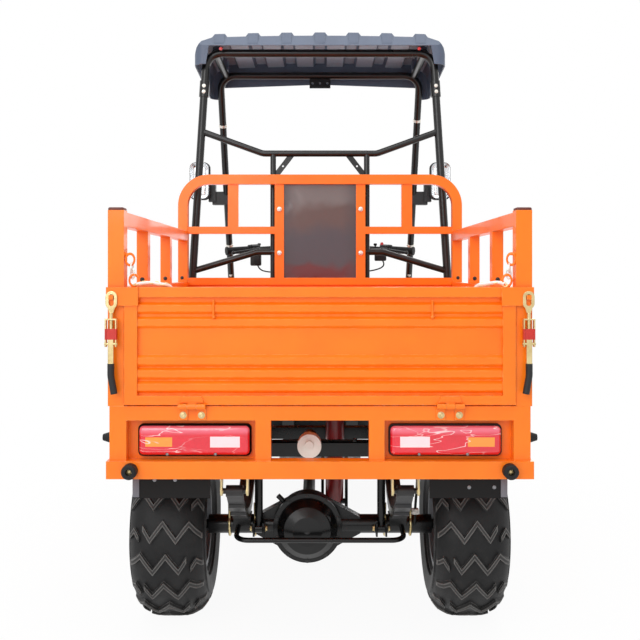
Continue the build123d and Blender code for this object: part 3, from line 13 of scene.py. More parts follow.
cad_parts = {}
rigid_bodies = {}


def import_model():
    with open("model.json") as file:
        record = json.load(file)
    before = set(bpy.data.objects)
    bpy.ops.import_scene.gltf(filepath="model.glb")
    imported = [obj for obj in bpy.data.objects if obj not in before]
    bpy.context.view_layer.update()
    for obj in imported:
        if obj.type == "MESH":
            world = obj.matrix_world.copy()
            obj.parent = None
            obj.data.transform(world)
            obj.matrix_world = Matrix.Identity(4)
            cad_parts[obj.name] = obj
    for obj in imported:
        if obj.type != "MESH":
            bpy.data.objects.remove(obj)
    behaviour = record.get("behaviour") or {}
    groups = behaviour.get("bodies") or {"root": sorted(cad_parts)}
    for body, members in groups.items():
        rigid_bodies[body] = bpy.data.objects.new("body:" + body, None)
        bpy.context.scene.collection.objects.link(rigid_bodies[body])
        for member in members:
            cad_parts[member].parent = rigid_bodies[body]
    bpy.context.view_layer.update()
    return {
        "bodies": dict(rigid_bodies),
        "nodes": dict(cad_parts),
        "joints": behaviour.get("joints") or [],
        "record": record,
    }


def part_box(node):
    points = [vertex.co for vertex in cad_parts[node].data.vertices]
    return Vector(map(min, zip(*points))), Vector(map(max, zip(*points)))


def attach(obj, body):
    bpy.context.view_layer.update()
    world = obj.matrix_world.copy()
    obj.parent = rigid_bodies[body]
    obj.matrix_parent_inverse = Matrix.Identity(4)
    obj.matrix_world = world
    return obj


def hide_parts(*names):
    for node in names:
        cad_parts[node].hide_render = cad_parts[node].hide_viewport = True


LOG = logging.getLogger("quad")

Point = tuple[float, float, float]
Colour = tuple[float, float, float]


def linear(red: int, green: int, blue: int) -> Colour:
    """Turn a screen colour into scene light.

    Args:
        red: Red from 0 to 255.
        green: Green from 0 to 255.
        blue: Blue from 0 to 255.

    Returns:
        The three linear values.
    """
    def channel(value: int) -> float:
        """Undo the screen curve of one channel."""
        share = value / 255
        return share / 12.92 if share <= 0.04045 else ((share + 0.055) / 1.055) ** 2.4

    return channel(red), channel(green), channel(blue)


class Facing(Enum):
    """The way that a piece made upright is laid to point."""

    UP = (0, 0, 1)
    REAR = (0, -1, 0)
    FRONT = (0, 1, 0)
    LEFT = (-1, 0, 0)
    RIGHT = (1, 0, 0)

    def turn(self) -> Matrix:
        """Give the matrix that lays an upright piece to point this way."""
        return aim(self.value)


def aim(way: Sequence[float]) -> Matrix:
    """Find the turn that lays an upright piece along a direction.

    Args:
        way: The direction that its top points to.

    Returns:
        The turn.
    """
    return Vector((0, 0, 1)).rotation_difference(Vector(way)).to_matrix().to_4x4()


class Bench:
    """Modelling by hand: each method leaves one finished mesh at the origin."""

    @staticmethod
    def clear() -> None:
        """Deselect everything, so that the next operator acts on its own piece."""
        bpy.ops.object.select_all(action="DESELECT")

    @classmethod
    def focus(cls, piece: bpy.types.Object) -> None:
        """Select one piece alone and make it active."""
        cls.clear()
        piece.select_set(True)
        bpy.context.view_layer.objects.active = piece

    @classmethod
    def start_cube(cls, size: Sequence[float]) -> None:
        """Add a cube, stretch it to a size and stay in edit mode with all of it selected.

        Args:
            size: Its size along each axis.
        """
        cls.clear()
        bpy.ops.mesh.primitive_cube_add(size=1)
        bpy.ops.object.mode_set(mode="EDIT")
        bpy.ops.mesh.select_all(action="SELECT")
        bpy.ops.transform.resize(value=size, center_override=(0, 0, 0))

    @staticmethod
    def settle(name: str, place: Matrix) -> bpy.types.Object:
        """Bake the active piece's place into its mesh.

        Args:
            name: The piece's name.
            place: Where the piece goes from where it was modelled.

        Returns:
            The piece, at the origin, unturned and unscaled.
        """
        piece = bpy.context.active_object
        piece.data.transform(place @ piece.matrix_world)
        piece.matrix_world = Matrix.Identity(4)
        piece.name = name
        piece.data.name = name
        return piece

    @staticmethod
    def close() -> None:
        """Merge doubles, point the faces outwards and leave edit mode."""
        bpy.ops.mesh.select_all(action="SELECT")
        bpy.ops.mesh.remove_doubles(threshold=1e-6)
        bpy.ops.mesh.normals_make_consistent(inside=False)
        bpy.ops.object.mode_set(mode="OBJECT")

    @staticmethod
    def pick(test: Callable[[Vector], bool], kind: str, axis: int | None = None) -> None:
        """Select what passes a test, in edit mode.

        Args:
            test: Takes the place of a vertex and says whether it counts.
            kind: EDGE or FACE; all of its vertices have to pass.
            axis: Where given, an edge also has to run along this axis.
        """
        bpy.ops.object.mode_set(mode="OBJECT")
        mesh = bpy.context.active_object.data
        for item in mesh.edges if kind == "EDGE" else mesh.polygons:
            spots = [mesh.vertices[v].co for v in item.vertices]
            along = axis is None or abs(spots[0][axis] - spots[1][axis]) > 1e-5
            item.select = along and all(test(spot) for spot in spots)
        bpy.ops.object.mode_set(mode="EDIT")
        bpy.ops.mesh.select_mode(type=kind)

    @classmethod
    def block(cls, name: str, low: Point, high: Point, round_off: float = 0.0015) -> bpy.types.Object:
        """Model a block with softened edges.

        Args:
            name: The piece's name.
            low: Its lowest corner.
            high: Its highest corner.
            round_off: How far its edges are bevelled.

        Returns:
            The block.
        """
        cls.start_cube([b - a for a, b in zip(low, high)])
        middle = [(a + b) / 2 for a, b in zip(low, high)]
        bpy.ops.mesh.bevel(offset=round_off, segments=2, affect="EDGES")
        cls.close()
        return cls.settle(name, Matrix.Translation(middle))

    @classmethod
    def turned(
        cls,
        name: str,
        stages: Sequence[tuple[float, float]],
        place: Point,
        facing: Facing | Matrix = Facing.UP,
        sides: int = 24,
    ) -> bpy.types.Object:
        """Turn a piece by extruding a disc through its stages.

        Args:
            name: The piece's name.
            stages: Radius and height of each stage, from the bottom up.
            place: Where height nought of its middle line goes.
            facing: Which way its middle line points.
            sides: How many sides the disc has.

        Returns:
            The turned piece.
        """
        cls.clear()
        radius, height = stages[0]
        bpy.ops.mesh.primitive_circle_add(
            vertices=sides, radius=radius, fill_type="NGON", location=(0, 0, height)
        )
        bpy.ops.object.transform_apply(location=True, rotation=False, scale=False)
        bpy.ops.object.mode_set(mode="EDIT")
        bpy.ops.mesh.select_all(action="SELECT")
        for next_radius, next_height in stages[1:]:
            step = (0, 0, next_height - height)
            bpy.ops.mesh.extrude_region_move(TRANSFORM_OT_translate={"value": step})
            share = next_radius / radius
            bpy.ops.transform.resize(value=(share, share, 1), center_override=(0, 0, next_height))
            radius, height = next_radius, next_height
        cls.close()
        turn = facing.turn() if isinstance(facing, Facing) else facing
        return cls.settle(name, Matrix.Translation(place) @ turn)

    @classmethod
    def torus(
        cls, name: str, radii: tuple[float, float], sides: tuple[int, int], stretch: Point, turn: Matrix
    ) -> bpy.types.Object:
        """Bend a round ring and stretch it into a link, an eye or a rim.

        Args:
            name: The ring's name.
            radii: The radius of its middle line and of its wire.
            sides: How many sides it has round the ring and round the wire.
            stretch: How far it is stretched along each axis while it lies flat.
            turn: Where it goes from there.

        Returns:
            The ring.
        """
        cls.clear()
        bpy.ops.mesh.primitive_torus_add(
            major_radius=radii[0], minor_radius=radii[1], major_segments=sides[0], minor_segments=sides[1]
        )
        bpy.ops.object.mode_set(mode="EDIT")
        bpy.ops.mesh.select_all(action="SELECT")
        bpy.ops.transform.resize(value=stretch, center_override=(0, 0, 0))
        cls.close()
        return cls.settle(name, turn)

    @classmethod
    def wire(cls, name: str, points: Sequence[Point], radius: float) -> bpy.types.Object:
        """Draw a bent wire or tube along a smooth path.

        Args:
            name: The piece's name.
            points: The control points of its path.
            radius: The wire's radius.

        Returns:
            The wire as a mesh.
        """
        cls.path(name, points, radius)
        bpy.ops.object.convert(target="MESH")
        return cls.settle(name, Matrix.Identity(4))

    @classmethod
    def path(cls, name: str, points: Sequence[Point], radius: float) -> bpy.types.Object:
        """Draw a round curve along a smooth path.

        Args:
            name: The piece's name.
            points: The control points of its path, five or more.
            radius: The curve's radius.

        Returns:
            The curve object.
        """
        cls.clear()
        bpy.ops.curve.primitive_nurbs_path_add()
        curve = bpy.context.active_object
        curve.name = name
        spline = curve.data.splines[0]
        spline.points.add(len(points) - len(spline.points))
        for spot, point in zip(spline.points, points):
            spot.co = (*point, 1)
        spline.use_endpoint_u = True
        spline.order_u = 3
        spline.resolution_u = 8
        curve.data.bevel_depth = radius
        curve.data.bevel_resolution = 3
        curve.data.use_fill_caps = True
        return curve

    @staticmethod
    def centreline(curve: bpy.types.Object) -> list[Vector]:
        """Read the points that a round curve follows.

        Args:
            curve: The curve object.

        Returns:
            The points along its middle.
        """
        plain = curve.data.copy()
        plain.bevel_depth = 0
        probe = bpy.data.objects.new("probe", plain)
        line = [vertex.co.copy() for vertex in bpy.data.meshes.new_from_object(probe).vertices]
        bpy.data.objects.remove(probe)
        return line

    @staticmethod
    def run_length(line: Sequence[Vector]) -> float:
        """Add up the length of a line.

        Args:
            line: The points of the line.

        Returns:
            Its length.
        """
        return sum((b - a).length for a, b in zip(line, line[1:]))

    @classmethod
    def join(cls, name: str, pieces: Iterable[bpy.types.Object]) -> bpy.types.Object:
        """Join meshes into one piece.

        Args:
            name: The joined piece's name.
            pieces: The meshes to join.

        Returns:
            The joined piece.
        """
        pieces = list(pieces)
        cls.clear()
        for piece in pieces:
            piece.select_set(True)
        bpy.context.view_layer.objects.active = pieces[0]
        if len(pieces) > 1:
            bpy.ops.object.join()
        return cls.settle(name, Matrix.Identity(4))

    @classmethod
    def copy(cls, piece: bpy.types.Object, move: Matrix) -> bpy.types.Object:
        """Copy a piece with its own mesh.

        Args:
            piece: The piece to copy.
            move: Where the copy goes from the first one.

        Returns:
            The copy.
        """
        cls.focus(piece)
        bpy.ops.object.duplicate()
        twin = bpy.context.active_object
        twin.data.transform(move)
        if move.determinant() < 0:
            twin.data.flip_normals()
        return twin

    @classmethod
    def smooth(cls, piece: bpy.types.Object, angle: float = 35) -> None:
        """Shade a piece smooth up to an angle.

        Args:
            piece: The piece to shade.
            angle: The largest angle, in degrees, that still looks smooth.
        """
        cls.focus(piece)
        bpy.ops.object.shade_smooth_by_angle(angle=math.radians(angle))


class NodeTree:
    """A short hand for wiring shader nodes."""

    def __init__(self, tree: bpy.types.NodeTree) -> None:
        """Take hold of a node tree."""
        self.tree = tree

    def add(self, kind: str, **values: object) -> bpy.types.Node:
        """Add a node.

        Args:
            kind: The node's type, without the ShaderNode prefix.
            values: Node properties by name, or socket values by socket name with spaces as underscores.

        Returns:
            The node.
        """
        node = self.tree.nodes.new(kind if kind.startswith("Node") else f"ShaderNode{kind}")
        for key, value in values.items():
            if hasattr(node, key):
                setattr(node, key, value)
            else:
                node.inputs[key.replace("_", " ")].default_value = value
        return node

    def join(self, source: bpy.types.NodeSocket, target: bpy.types.NodeSocket) -> None:
        """Wire one socket to another."""
        self.tree.links.new(source, target)

    def maths(
        self, operation: str, first: object, second: object = None, clamp: bool = False
    ) -> bpy.types.NodeSocket:
        """Add a maths node.

        Args:
            operation: The maths node's operation.
            first: Its first value, a number or a socket.
            second: Its second value, a number or a socket, if it has one.
            clamp: Whether the result stays from nought to one.

        Returns:
            The result's socket.
        """
        node = self.add("Math", operation=operation, use_clamp=clamp)
        for socket, value in zip(node.inputs, (first, second)):
            if isinstance(value, bpy.types.NodeSocket):
                self.join(value, socket)
            elif value is not None:
                socket.default_value = value
        return node.outputs[0]

    def ramp(self, value: bpy.types.NodeSocket, low: float, high: float) -> bpy.types.NodeSocket:
        """Give a smooth step.

        Args:
            value: The value to step.
            low: Where the step starts from nought.
            high: Where the step reaches one.

        Returns:
            The step's socket.
        """
        node = self.add("MapRange", interpolation_type="SMOOTHSTEP")
        self.join(value, node.inputs["Value"])
        node.inputs["From Min"].default_value = low
        node.inputs["From Max"].default_value = high
        return node.outputs["Result"]

    def blend(self, share: object, first: object, second: object) -> bpy.types.NodeSocket:
        """Mix two colours.

        Args:
            share: How much of the second colour shows, a number or a socket.
            first: The first colour, three numbers or a socket.
            second: The second colour, three numbers or a socket.

        Returns:
            The mixed colour's socket.
        """
        node = self.add("Mix", data_type="RGBA")
        sockets = (node.inputs[0], node.inputs[6], node.inputs[7])
        for socket, value in zip(sockets, (share, first, second)):
            if isinstance(value, bpy.types.NodeSocket):
                self.join(value, socket)
            elif isinstance(value, (int, float)):
                socket.default_value = value
            else:
                socket.default_value = (*value, 1)
        return node.outputs[2]


class SharedEffect:
    """A shader node group that several finishes place with their own values."""

    def __init__(self, name: str, inputs: dict[str, object], outputs: dict[str, str]) -> None:
        """Open a group.

        Args:
            name: The group's name.
            inputs: Default value by input name; a tuple is a colour.
            outputs: Socket type by output name.
        """
        self.group = bpy.data.node_groups.new(name, "ShaderNodeTree")
        for key, value in inputs.items():
            kind = "NodeSocketColor" if isinstance(value, tuple) else "NodeSocketFloat"
            socket = self.group.interface.new_socket(key, in_out="INPUT", socket_type=kind)
            socket.default_value = (*value, 1) if isinstance(value, tuple) else value
        for key, kind in outputs.items():
            self.group.interface.new_socket(key, in_out="OUTPUT", socket_type=kind)
        self.tree = NodeTree(self.group)
        self.start = self.tree.add("NodeGroupInput").outputs
        self.end = self.tree.add("NodeGroupOutput").inputs

    def place(self, tree: NodeTree, **values: object) -> bpy.types.Node:
        """Put the group into a material.

        Args:
            tree: The material's node tree.
            values: Values by input name, with spaces as underscores.

        Returns:
            The group's node.
        """
        node = tree.add("Group")
        node.node_tree = self.group
        for key, value in values.items():
            socket = node.inputs[key.replace("_", " ")]
            socket.default_value = (*value, 1) if isinstance(value, tuple) else value
        return node


def mottle_effect() -> SharedEffect:
    """Build the cloudy colour, gloss and relief that every coated surface has.

    Returns:
        The effect with Colour, Roughness and Height.
    """
    effect = SharedEffect(
        "surface_mottle",
        {
            "Colour": (0.5, 0.5, 0.5),
            "Shade": (0.4, 0.4, 0.4),
            "Cloud Scale": 6.0,
            "Cloud Amount": 0.5,
            "Grain Scale": 900.0,
            "Roughness": 0.4,
            "Roughness Spread": 0.1,
        },
        {"Colour": "NodeSocketColor", "Roughness": "NodeSocketFloat", "Height": "NodeSocketFloat"},
    )
    tree = effect.tree
    where = tree.add("TexCoord").outputs["Object"]
    cloud = tree.add("TexNoise", Detail=6.0, Roughness=0.6)
    tree.join(where, cloud.inputs["Vector"])
    tree.join(effect.start["Cloud Scale"], cloud.inputs["Scale"])
    grain = tree.add("TexNoise", Detail=3.0)
    tree.join(where, grain.inputs["Vector"])
    tree.join(effect.start["Grain Scale"], grain.inputs["Scale"])
    patch = tree.ramp(cloud.outputs["Fac"], 0.35, 0.7)
    share = tree.maths("MULTIPLY", patch, effect.start["Cloud Amount"])
    tree.join(tree.blend(share, effect.start["Colour"], effect.start["Shade"]), effect.end["Colour"])
    lift = tree.maths("SUBTRACT", cloud.outputs["Fac"], 0.5)
    spread = tree.maths("MULTIPLY", lift, effect.start["Roughness Spread"])
    tree.join(tree.maths("ADD", effect.start["Roughness"], spread, True), effect.end["Roughness"])
    tree.join(grain.outputs["Fac"], effect.end["Height"])
    return effect


def edge_effect() -> SharedEffect:
    """Build the mask of edges, which stands for rubbed wear and also carries painted highlights along edges,
    and the softened normal of sharp ones.

    Returns:
        The effect with Mask and Normal.
    """
    effect = SharedEffect(
        "rubbed_and_highlit_edges",
        {"Radius": 0.002, "Breakup Scale": 40.0, "Amount": 0.6},
        {"Mask": "NodeSocketFloat", "Normal": "NodeSocketVector"},
    )
    tree = effect.tree
    rounded = tree.add("Bevel", samples=4)
    tree.join(effect.start["Radius"], rounded.inputs["Radius"])
    flat = tree.add("NewGeometry")
    turn = tree.add("VectorMath", operation="DOT_PRODUCT")
    tree.join(rounded.outputs["Normal"], turn.inputs[0])
    tree.join(flat.outputs["Normal"], turn.inputs[1])
    bend = tree.maths("SUBTRACT", 1.0, turn.outputs["Value"])
    edge = tree.ramp(bend, 0.02, 0.2)
    noise = tree.add("TexNoise", Detail=4.0)
    tree.join(tree.add("TexCoord").outputs["Object"], noise.inputs["Vector"])
    tree.join(effect.start["Breakup Scale"], noise.inputs["Scale"])
    broken = tree.maths("MULTIPLY", edge, tree.ramp(noise.outputs["Fac"], 0.42, 0.62))
    tree.join(tree.maths("MULTIPLY", broken, effect.start["Amount"], True), effect.end["Mask"])
    tree.join(rounded.outputs["Normal"], effect.end["Normal"])
    return effect


def dust_effect() -> SharedEffect:
    """Build the dust that lies on faces that look up and low on the machine.

    Returns:
        The effect with Mask.
    """
    effect = SharedEffect(
        "settled_dust",
        {"Amount": 0.3, "Scale": 18.0, "Low Height": 0.05, "High Height": 0.6},
        {"Mask": "NodeSocketFloat"},
    )
    tree = effect.tree
    where = tree.add("TexCoord").outputs["Object"]
    parts = tree.add("SeparateXYZ")
    tree.join(where, parts.inputs[0])
    face = tree.add("SeparateXYZ")
    tree.join(tree.add("NewGeometry").outputs["Normal"], face.inputs[0])
    height = tree.add("MapRange")
    tree.join(parts.outputs["Z"], height.inputs["Value"])
    tree.join(effect.start["Low Height"], height.inputs["From Max"])
    tree.join(effect.start["High Height"], height.inputs["From Min"])
    up = tree.maths("MULTIPLY", tree.ramp(face.outputs["Z"], 0.2, 1.0), 0.7)
    both = tree.maths("MAXIMUM", height.outputs["Result"], up)
    noise = tree.add("TexNoise", Detail=8.0, Roughness=0.7)
    tree.join(where, noise.inputs["Vector"])
    tree.join(effect.start["Scale"], noise.inputs["Scale"])
    spots = tree.maths("MULTIPLY", both, tree.ramp(noise.outputs["Fac"], 0.4, 0.75))
    tree.join(tree.maths("MULTIPLY", spots, effect.start["Amount"], True), effect.end["Mask"])
    return effect


def film_crease_highlight_effect() -> SharedEffect:
    """Build the painted highlights on the creases of a thin clear film pulled over a surface.

    Returns:
        The effect with Mask.
    """
    effect = SharedEffect("film_crease_highlight", {"Amount": 0.6, "Scale": 8.0}, {"Mask": "NodeSocketFloat"})
    tree = effect.tree
    where = tree.add("TexCoord").outputs["Object"]
    squash = tree.add("Mapping")
    squash.inputs["Scale"].default_value = (1.0, 1.0, 4.5)
    squash.inputs["Rotation"].default_value = (0.0, 0.35, 0.0)
    tree.join(where, squash.inputs["Vector"])
    folds = tree.add("TexNoise", Detail=2.0, Distortion=0.5)
    tree.join(squash.outputs["Vector"], folds.inputs["Vector"])
    tree.join(effect.start["Scale"], folds.inputs["Scale"])
    crest = tree.maths("ABSOLUTE", tree.maths("SUBTRACT", folds.outputs["Fac"], 0.5))
    line = tree.ramp(crest, 0.014, 0.002)
    patch = tree.add("TexNoise", Scale=9.0, Detail=1.0)
    tree.join(where, patch.inputs["Vector"])
    shown = tree.maths("MULTIPLY", line, tree.ramp(patch.outputs["Fac"], 0.34, 0.56))
    tree.join(tree.maths("MULTIPLY", shown, effect.start["Amount"], True), effect.end["Mask"])
    return effect


@dataclass(frozen=True)
class Coat:
    """A coated or moulded surface: its colours, gloss, relief and wear, and the highlights and light painted
    into its colour.
    """

    name: str
    colour: Colour
    shade: Colour
    roughness: float = 0.4
    spread: float = 0.15
    metallic: float = 0.0
    clear: float = 0.0
    clear_roughness: float = 0.08
    cloud_scale: float = 6.0
    cloud: float = 0.4
    grain_scale: float = 900.0
    relief: float = 0.0002
    edge_radius: float = 0.002
    # edge colour: rubbed wear on edges, and a painted highlight on the orange paint and the tyres
    edge_colour: Colour | None = None
    edge_amount: float = 0.0
    dust: float = 0.0
    dust_colour: Colour = (0.35, 0.29, 0.22)
    specular: float = 0.5
    # painted highlight colour for the top rims of the tread bars
    rim_highlight_colour: Colour | None = None
    # film: strength of the painted highlights on the creases of a clear film
    film: float = 0.0
    # painted light colour for faces that look down above under_height
    painted_downward_light: Colour | None = None
    under_height: float = 2.0


@dataclass(frozen=True)
class Zone:
    """A part of a surface that has another finish, given by a box."""

    low: Point
    high: Point
    colour: Colour
    roughness: float = 0.4
    metallic: float = 0.0
    mirrored: bool = True
    soft: float = 0.0004


@dataclass(frozen=True)
class ZonedCoat:
    """A coat with zones of other finishes on it."""

    base: Coat
    zones: tuple[Zone, ...]


class Paintshop:
    """Makes the finishes and keeps them by name."""

    def __init__(self) -> None:
        """Build the shared effects."""
        self.mottle = mottle_effect()
        self.edges = edge_effect()
        self.dust = dust_effect()
        self.film = film_crease_highlight_effect()
        self.made: dict[str, bpy.types.Material] = {}

    def open(self, name: str) -> tuple[bpy.types.Material, NodeTree, bpy.types.Node]:
        """Start a material with a bare Principled shader.

        Args:
            name: The material's name.

        Returns:
            The material, its node tree and its shader.
        """
        material = bpy.data.materials.new(name)
        material.use_nodes = True
        tree = NodeTree(material.node_tree)
        material.node_tree.nodes.clear()
        shader = tree.add("BsdfPrincipled")
        end = tree.add("OutputMaterial")
        tree.join(shader.outputs[0], end.inputs["Surface"])
        self.made[name] = material
        return material, tree, shader

    def coat(self, finish: Coat) -> bpy.types.Material:
        """Make a coated surface.

        Args:
            finish: What the surface is like.

        Returns:
            The material.
        """
        material, tree, shader = self.open(finish.name)
        self.surface(finish, tree, shader)
        return material

    def zoned(self, finish: ZonedCoat) -> bpy.types.Material:
        """Make a coated surface with zones of other finishes.

        Args:
            finish: The coat and its zones.

        Returns:
            The material.
        """
        material, tree, shader = self.open(finish.base.name)
        colour, rough = self.surface(finish.base, tree, shader)
        shine = finish.base.metallic
        where = tree.add("SeparateXYZ")
        tree.join(tree.add("TexCoord").outputs["Object"], where.inputs[0])
        for zone in finish.zones:
            inside = None
            for axis, low, high in zip("XYZ", zone.low, zone.high):
                along = where.outputs[axis]
                if axis == "X" and zone.mirrored:
                    along = tree.maths("ABSOLUTE", along)
                enter = tree.ramp(along, low - zone.soft, low + zone.soft)
                leave = tree.ramp(along, high + zone.soft, high - zone.soft)
                span = tree.maths("MULTIPLY", enter, leave)
                inside = span if inside is None else tree.maths("MULTIPLY", inside, span)
            colour = tree.blend(inside, colour, zone.colour)
            rough = self.between(tree, inside, rough, zone.roughness)
            shine = self.between(tree, inside, shine, zone.metallic)
        if finish.base.film:
            film_highlight = self.film.place(tree, Amount=finish.base.film)
            # pale painted highlight along the creases of the lens film
            colour = tree.blend(film_highlight.outputs["Mask"], colour, linear(255, 226, 226))
        tree.join(colour, shader.inputs["Base Color"])
        tree.join(rough, shader.inputs["Roughness"])
        tree.join(shine, shader.inputs["Metallic"])
        return material

    @staticmethod
    def between(tree: NodeTree, share: object, first: object, second: float) -> bpy.types.NodeSocket:
        """Mix two values.

        Args:
            tree: The material's node tree.
            share: How much of the second value counts.
            first: The first value, a number or a socket.
            second: The second value.

        Returns:
            The mixed value's socket.
        """
        node = tree.add("Mix", data_type="FLOAT")
        tree.join(share, node.inputs[0])
        if isinstance(first, bpy.types.NodeSocket):
            tree.join(first, node.inputs[2])
        else:
            node.inputs[2].default_value = first
        node.inputs[3].default_value = second
        return node.outputs[0]

    def surface(
        self, finish: Coat, tree: NodeTree, shader: bpy.types.Node
    ) -> tuple[bpy.types.NodeSocket, bpy.types.NodeSocket]:
        """Wire a coat's colour, gloss, relief and wear, with its painted highlights and painted light on
        faces that look down, to a shader.

        Args:
            finish: What the surface is like.
            tree: The material's node tree.
            shader: The material's Principled shader.

        Returns:
            The sockets that give its colour and its roughness.
        """
        shader.inputs["Metallic"].default_value = finish.metallic
        shader.inputs["Specular IOR Level"].default_value = finish.specular
        shader.inputs["Coat Weight"].default_value = finish.clear
        shader.inputs["Coat Roughness"].default_value = finish.clear_roughness
        base = self.mottle.place(
            tree,
            Colour=finish.colour,
            Shade=finish.shade,
            Cloud_Scale=finish.cloud_scale,
            Cloud_Amount=finish.cloud,
            Grain_Scale=finish.grain_scale,
            Roughness=finish.roughness,
            Roughness_Spread=finish.spread,
        )
        edge = self.edges.place(tree, Radius=finish.edge_radius, Amount=finish.edge_amount)
        colour = base.outputs["Colour"]
        rough = base.outputs["Roughness"]
        # painted highlight on the top rims of the tread bars
        if finish.rim_highlight_colour:
            rim_highlight = tree.add("Attribute", attribute_name="rim_highlight")
            colour = tree.blend(rim_highlight.outputs["Fac"], colour, finish.rim_highlight_colour)
        if finish.edge_colour:
            colour = tree.blend(edge.outputs["Mask"], colour, finish.edge_colour)
        # painted light colour on faces that look down, high up on the roof
        if finish.painted_downward_light:
            colour = tree.blend(self.downward_light_mask(tree, finish.under_height), colour, finish.painted_downward_light)
        if finish.dust:
            dust = self.dust.place(tree, Amount=finish.dust)
            colour = tree.blend(dust.outputs["Mask"], colour, finish.dust_colour)
            rough = tree.maths("MAXIMUM", rough, dust.outputs["Mask"])
        tree.join(colour, shader.inputs["Base Color"])
        tree.join(rough, shader.inputs["Roughness"])
        bump = tree.add("Bump", Strength=1.0, Distance=finish.relief)
        tree.join(base.outputs["Height"], bump.inputs["Height"])
        tree.join(edge.outputs["Normal"], bump.inputs["Normal"])
        tree.join(bump.outputs["Normal"], shader.inputs["Normal"])
        return colour, rough

    @staticmethod
    def downward_light_mask(tree: NodeTree, height: float) -> bpy.types.NodeSocket:
        """Find the faces that look down from above a height, which take a painted light colour.

        Args:
            tree: The material's node tree.
            height: The lowest place that counts.

        Returns:
            The mask's socket.
        """
        face = tree.add("SeparateXYZ")
        tree.join(tree.add("NewGeometry").outputs["Normal"], face.inputs[0])
        place = tree.add("SeparateXYZ")
        tree.join(tree.add("TexCoord").outputs["Object"], place.inputs[0])
        down = tree.ramp(face.outputs["Z"], -0.75, -0.95)
        return tree.maths("MULTIPLY", down, tree.ramp(place.outputs["Z"], height, height + 0.012))

    def rings(
        self, name: str, middle: tuple[float, float], bands: Sequence[tuple[float, Colour]]
    ) -> bpy.types.Material:
        """Make a round lens with rings that stand for its reflector.

        Args:
            name: The material's name.
            middle: Distance from the middle plane and height of the lens's middle.
            bands: Where each ring starts and its colour, from the middle out.

        Returns:
            The material.
        """
        material, tree, shader = self.open(name)
        place = tree.add("SeparateXYZ")
        tree.join(tree.add("TexCoord").outputs["Object"], place.inputs[0])
        across = tree.maths("SUBTRACT", tree.maths("ABSOLUTE", place.outputs["X"]), middle[0])
        rise = tree.maths("SUBTRACT", place.outputs["Z"], middle[1])
        squares = [tree.maths("MULTIPLY", part, part) for part in (across, rise)]
        reach = tree.maths("SQRT", tree.maths("ADD", *squares))
        colour = bands[0][1]
        for start, shade in bands[1:]:
            colour = tree.blend(tree.ramp(reach, start - 0.002, start + 0.002), colour, shade)
        tree.join(colour, shader.inputs["Base Color"])
        shader.inputs["Roughness"].default_value = 0.12
        shader.inputs["Coat Weight"].default_value = 1.0
        ribs = tree.add("TexWave", bands_direction="X", Scale=60.0)
        tree.join(tree.add("TexCoord").outputs["Object"], ribs.inputs["Vector"])
        bump = tree.add("Bump", Strength=0.6, Distance=0.0008)
        tree.join(ribs.outputs["Fac"], bump.inputs["Height"])
        tree.join(bump.outputs["Normal"], shader.inputs["Normal"])
        return material

    def reflection_panel(self, name: str) -> bpy.types.Material:
        """Make the glossy panel behind its film, with soft bands of painted reflection: dark red low down,
        grey and brown bands above, pale grey at the top, and darker towards the sides.

        Args:
            name: The material's name.

        Returns:
            The material.
        """
        material, tree, shader = self.open(name)
        where = tree.add("TexCoord").outputs["Object"]
        wave = tree.add("TexNoise", Scale=7.0, Detail=2.0)
        tree.join(where, wave.inputs["Vector"])
        place = tree.add("SeparateXYZ")
        tree.join(where, place.inputs[0])
        sway = tree.maths("MULTIPLY", tree.maths("SUBTRACT", wave.outputs["Fac"], 0.5), 0.16)
        height = tree.maths("ADD", place.outputs["Z"], sway)
        # painted reflection bands, set by height with a wavy edge
        colour = tree.blend(tree.ramp(height, 1.12, 1.15), linear(98, 22, 26), linear(74, 66, 74))
        colour = tree.blend(tree.ramp(height, 1.24, 1.33), colour, linear(92, 70, 66))
        colour = tree.blend(tree.ramp(height, 1.36, 1.42), colour, linear(112, 106, 106))
        side = tree.ramp(tree.maths("ABSOLUTE", place.outputs["X"]), 0.08, 0.16)
        colour = tree.blend(tree.maths("MULTIPLY", side, 0.6), colour, linear(66, 58, 64))
        tree.join(colour, shader.inputs["Base Color"])
        shader.inputs["Roughness"].default_value = 0.14
        shader.inputs["Coat Weight"].default_value = 0.5
        crease = tree.add("TexNoise", Scale=9.0, Detail=1.5, Distortion=0.8)
        tree.join(where, crease.inputs["Vector"])
        bump = tree.add("Bump", Strength=0.5, Distance=0.003)
        tree.join(crease.outputs["Fac"], bump.inputs["Height"])
        tree.join(bump.outputs["Normal"], shader.inputs["Normal"])
        return material

    def of(self, name: str) -> bpy.types.Material:
        """Give a finish by name."""
        return self.made[name]


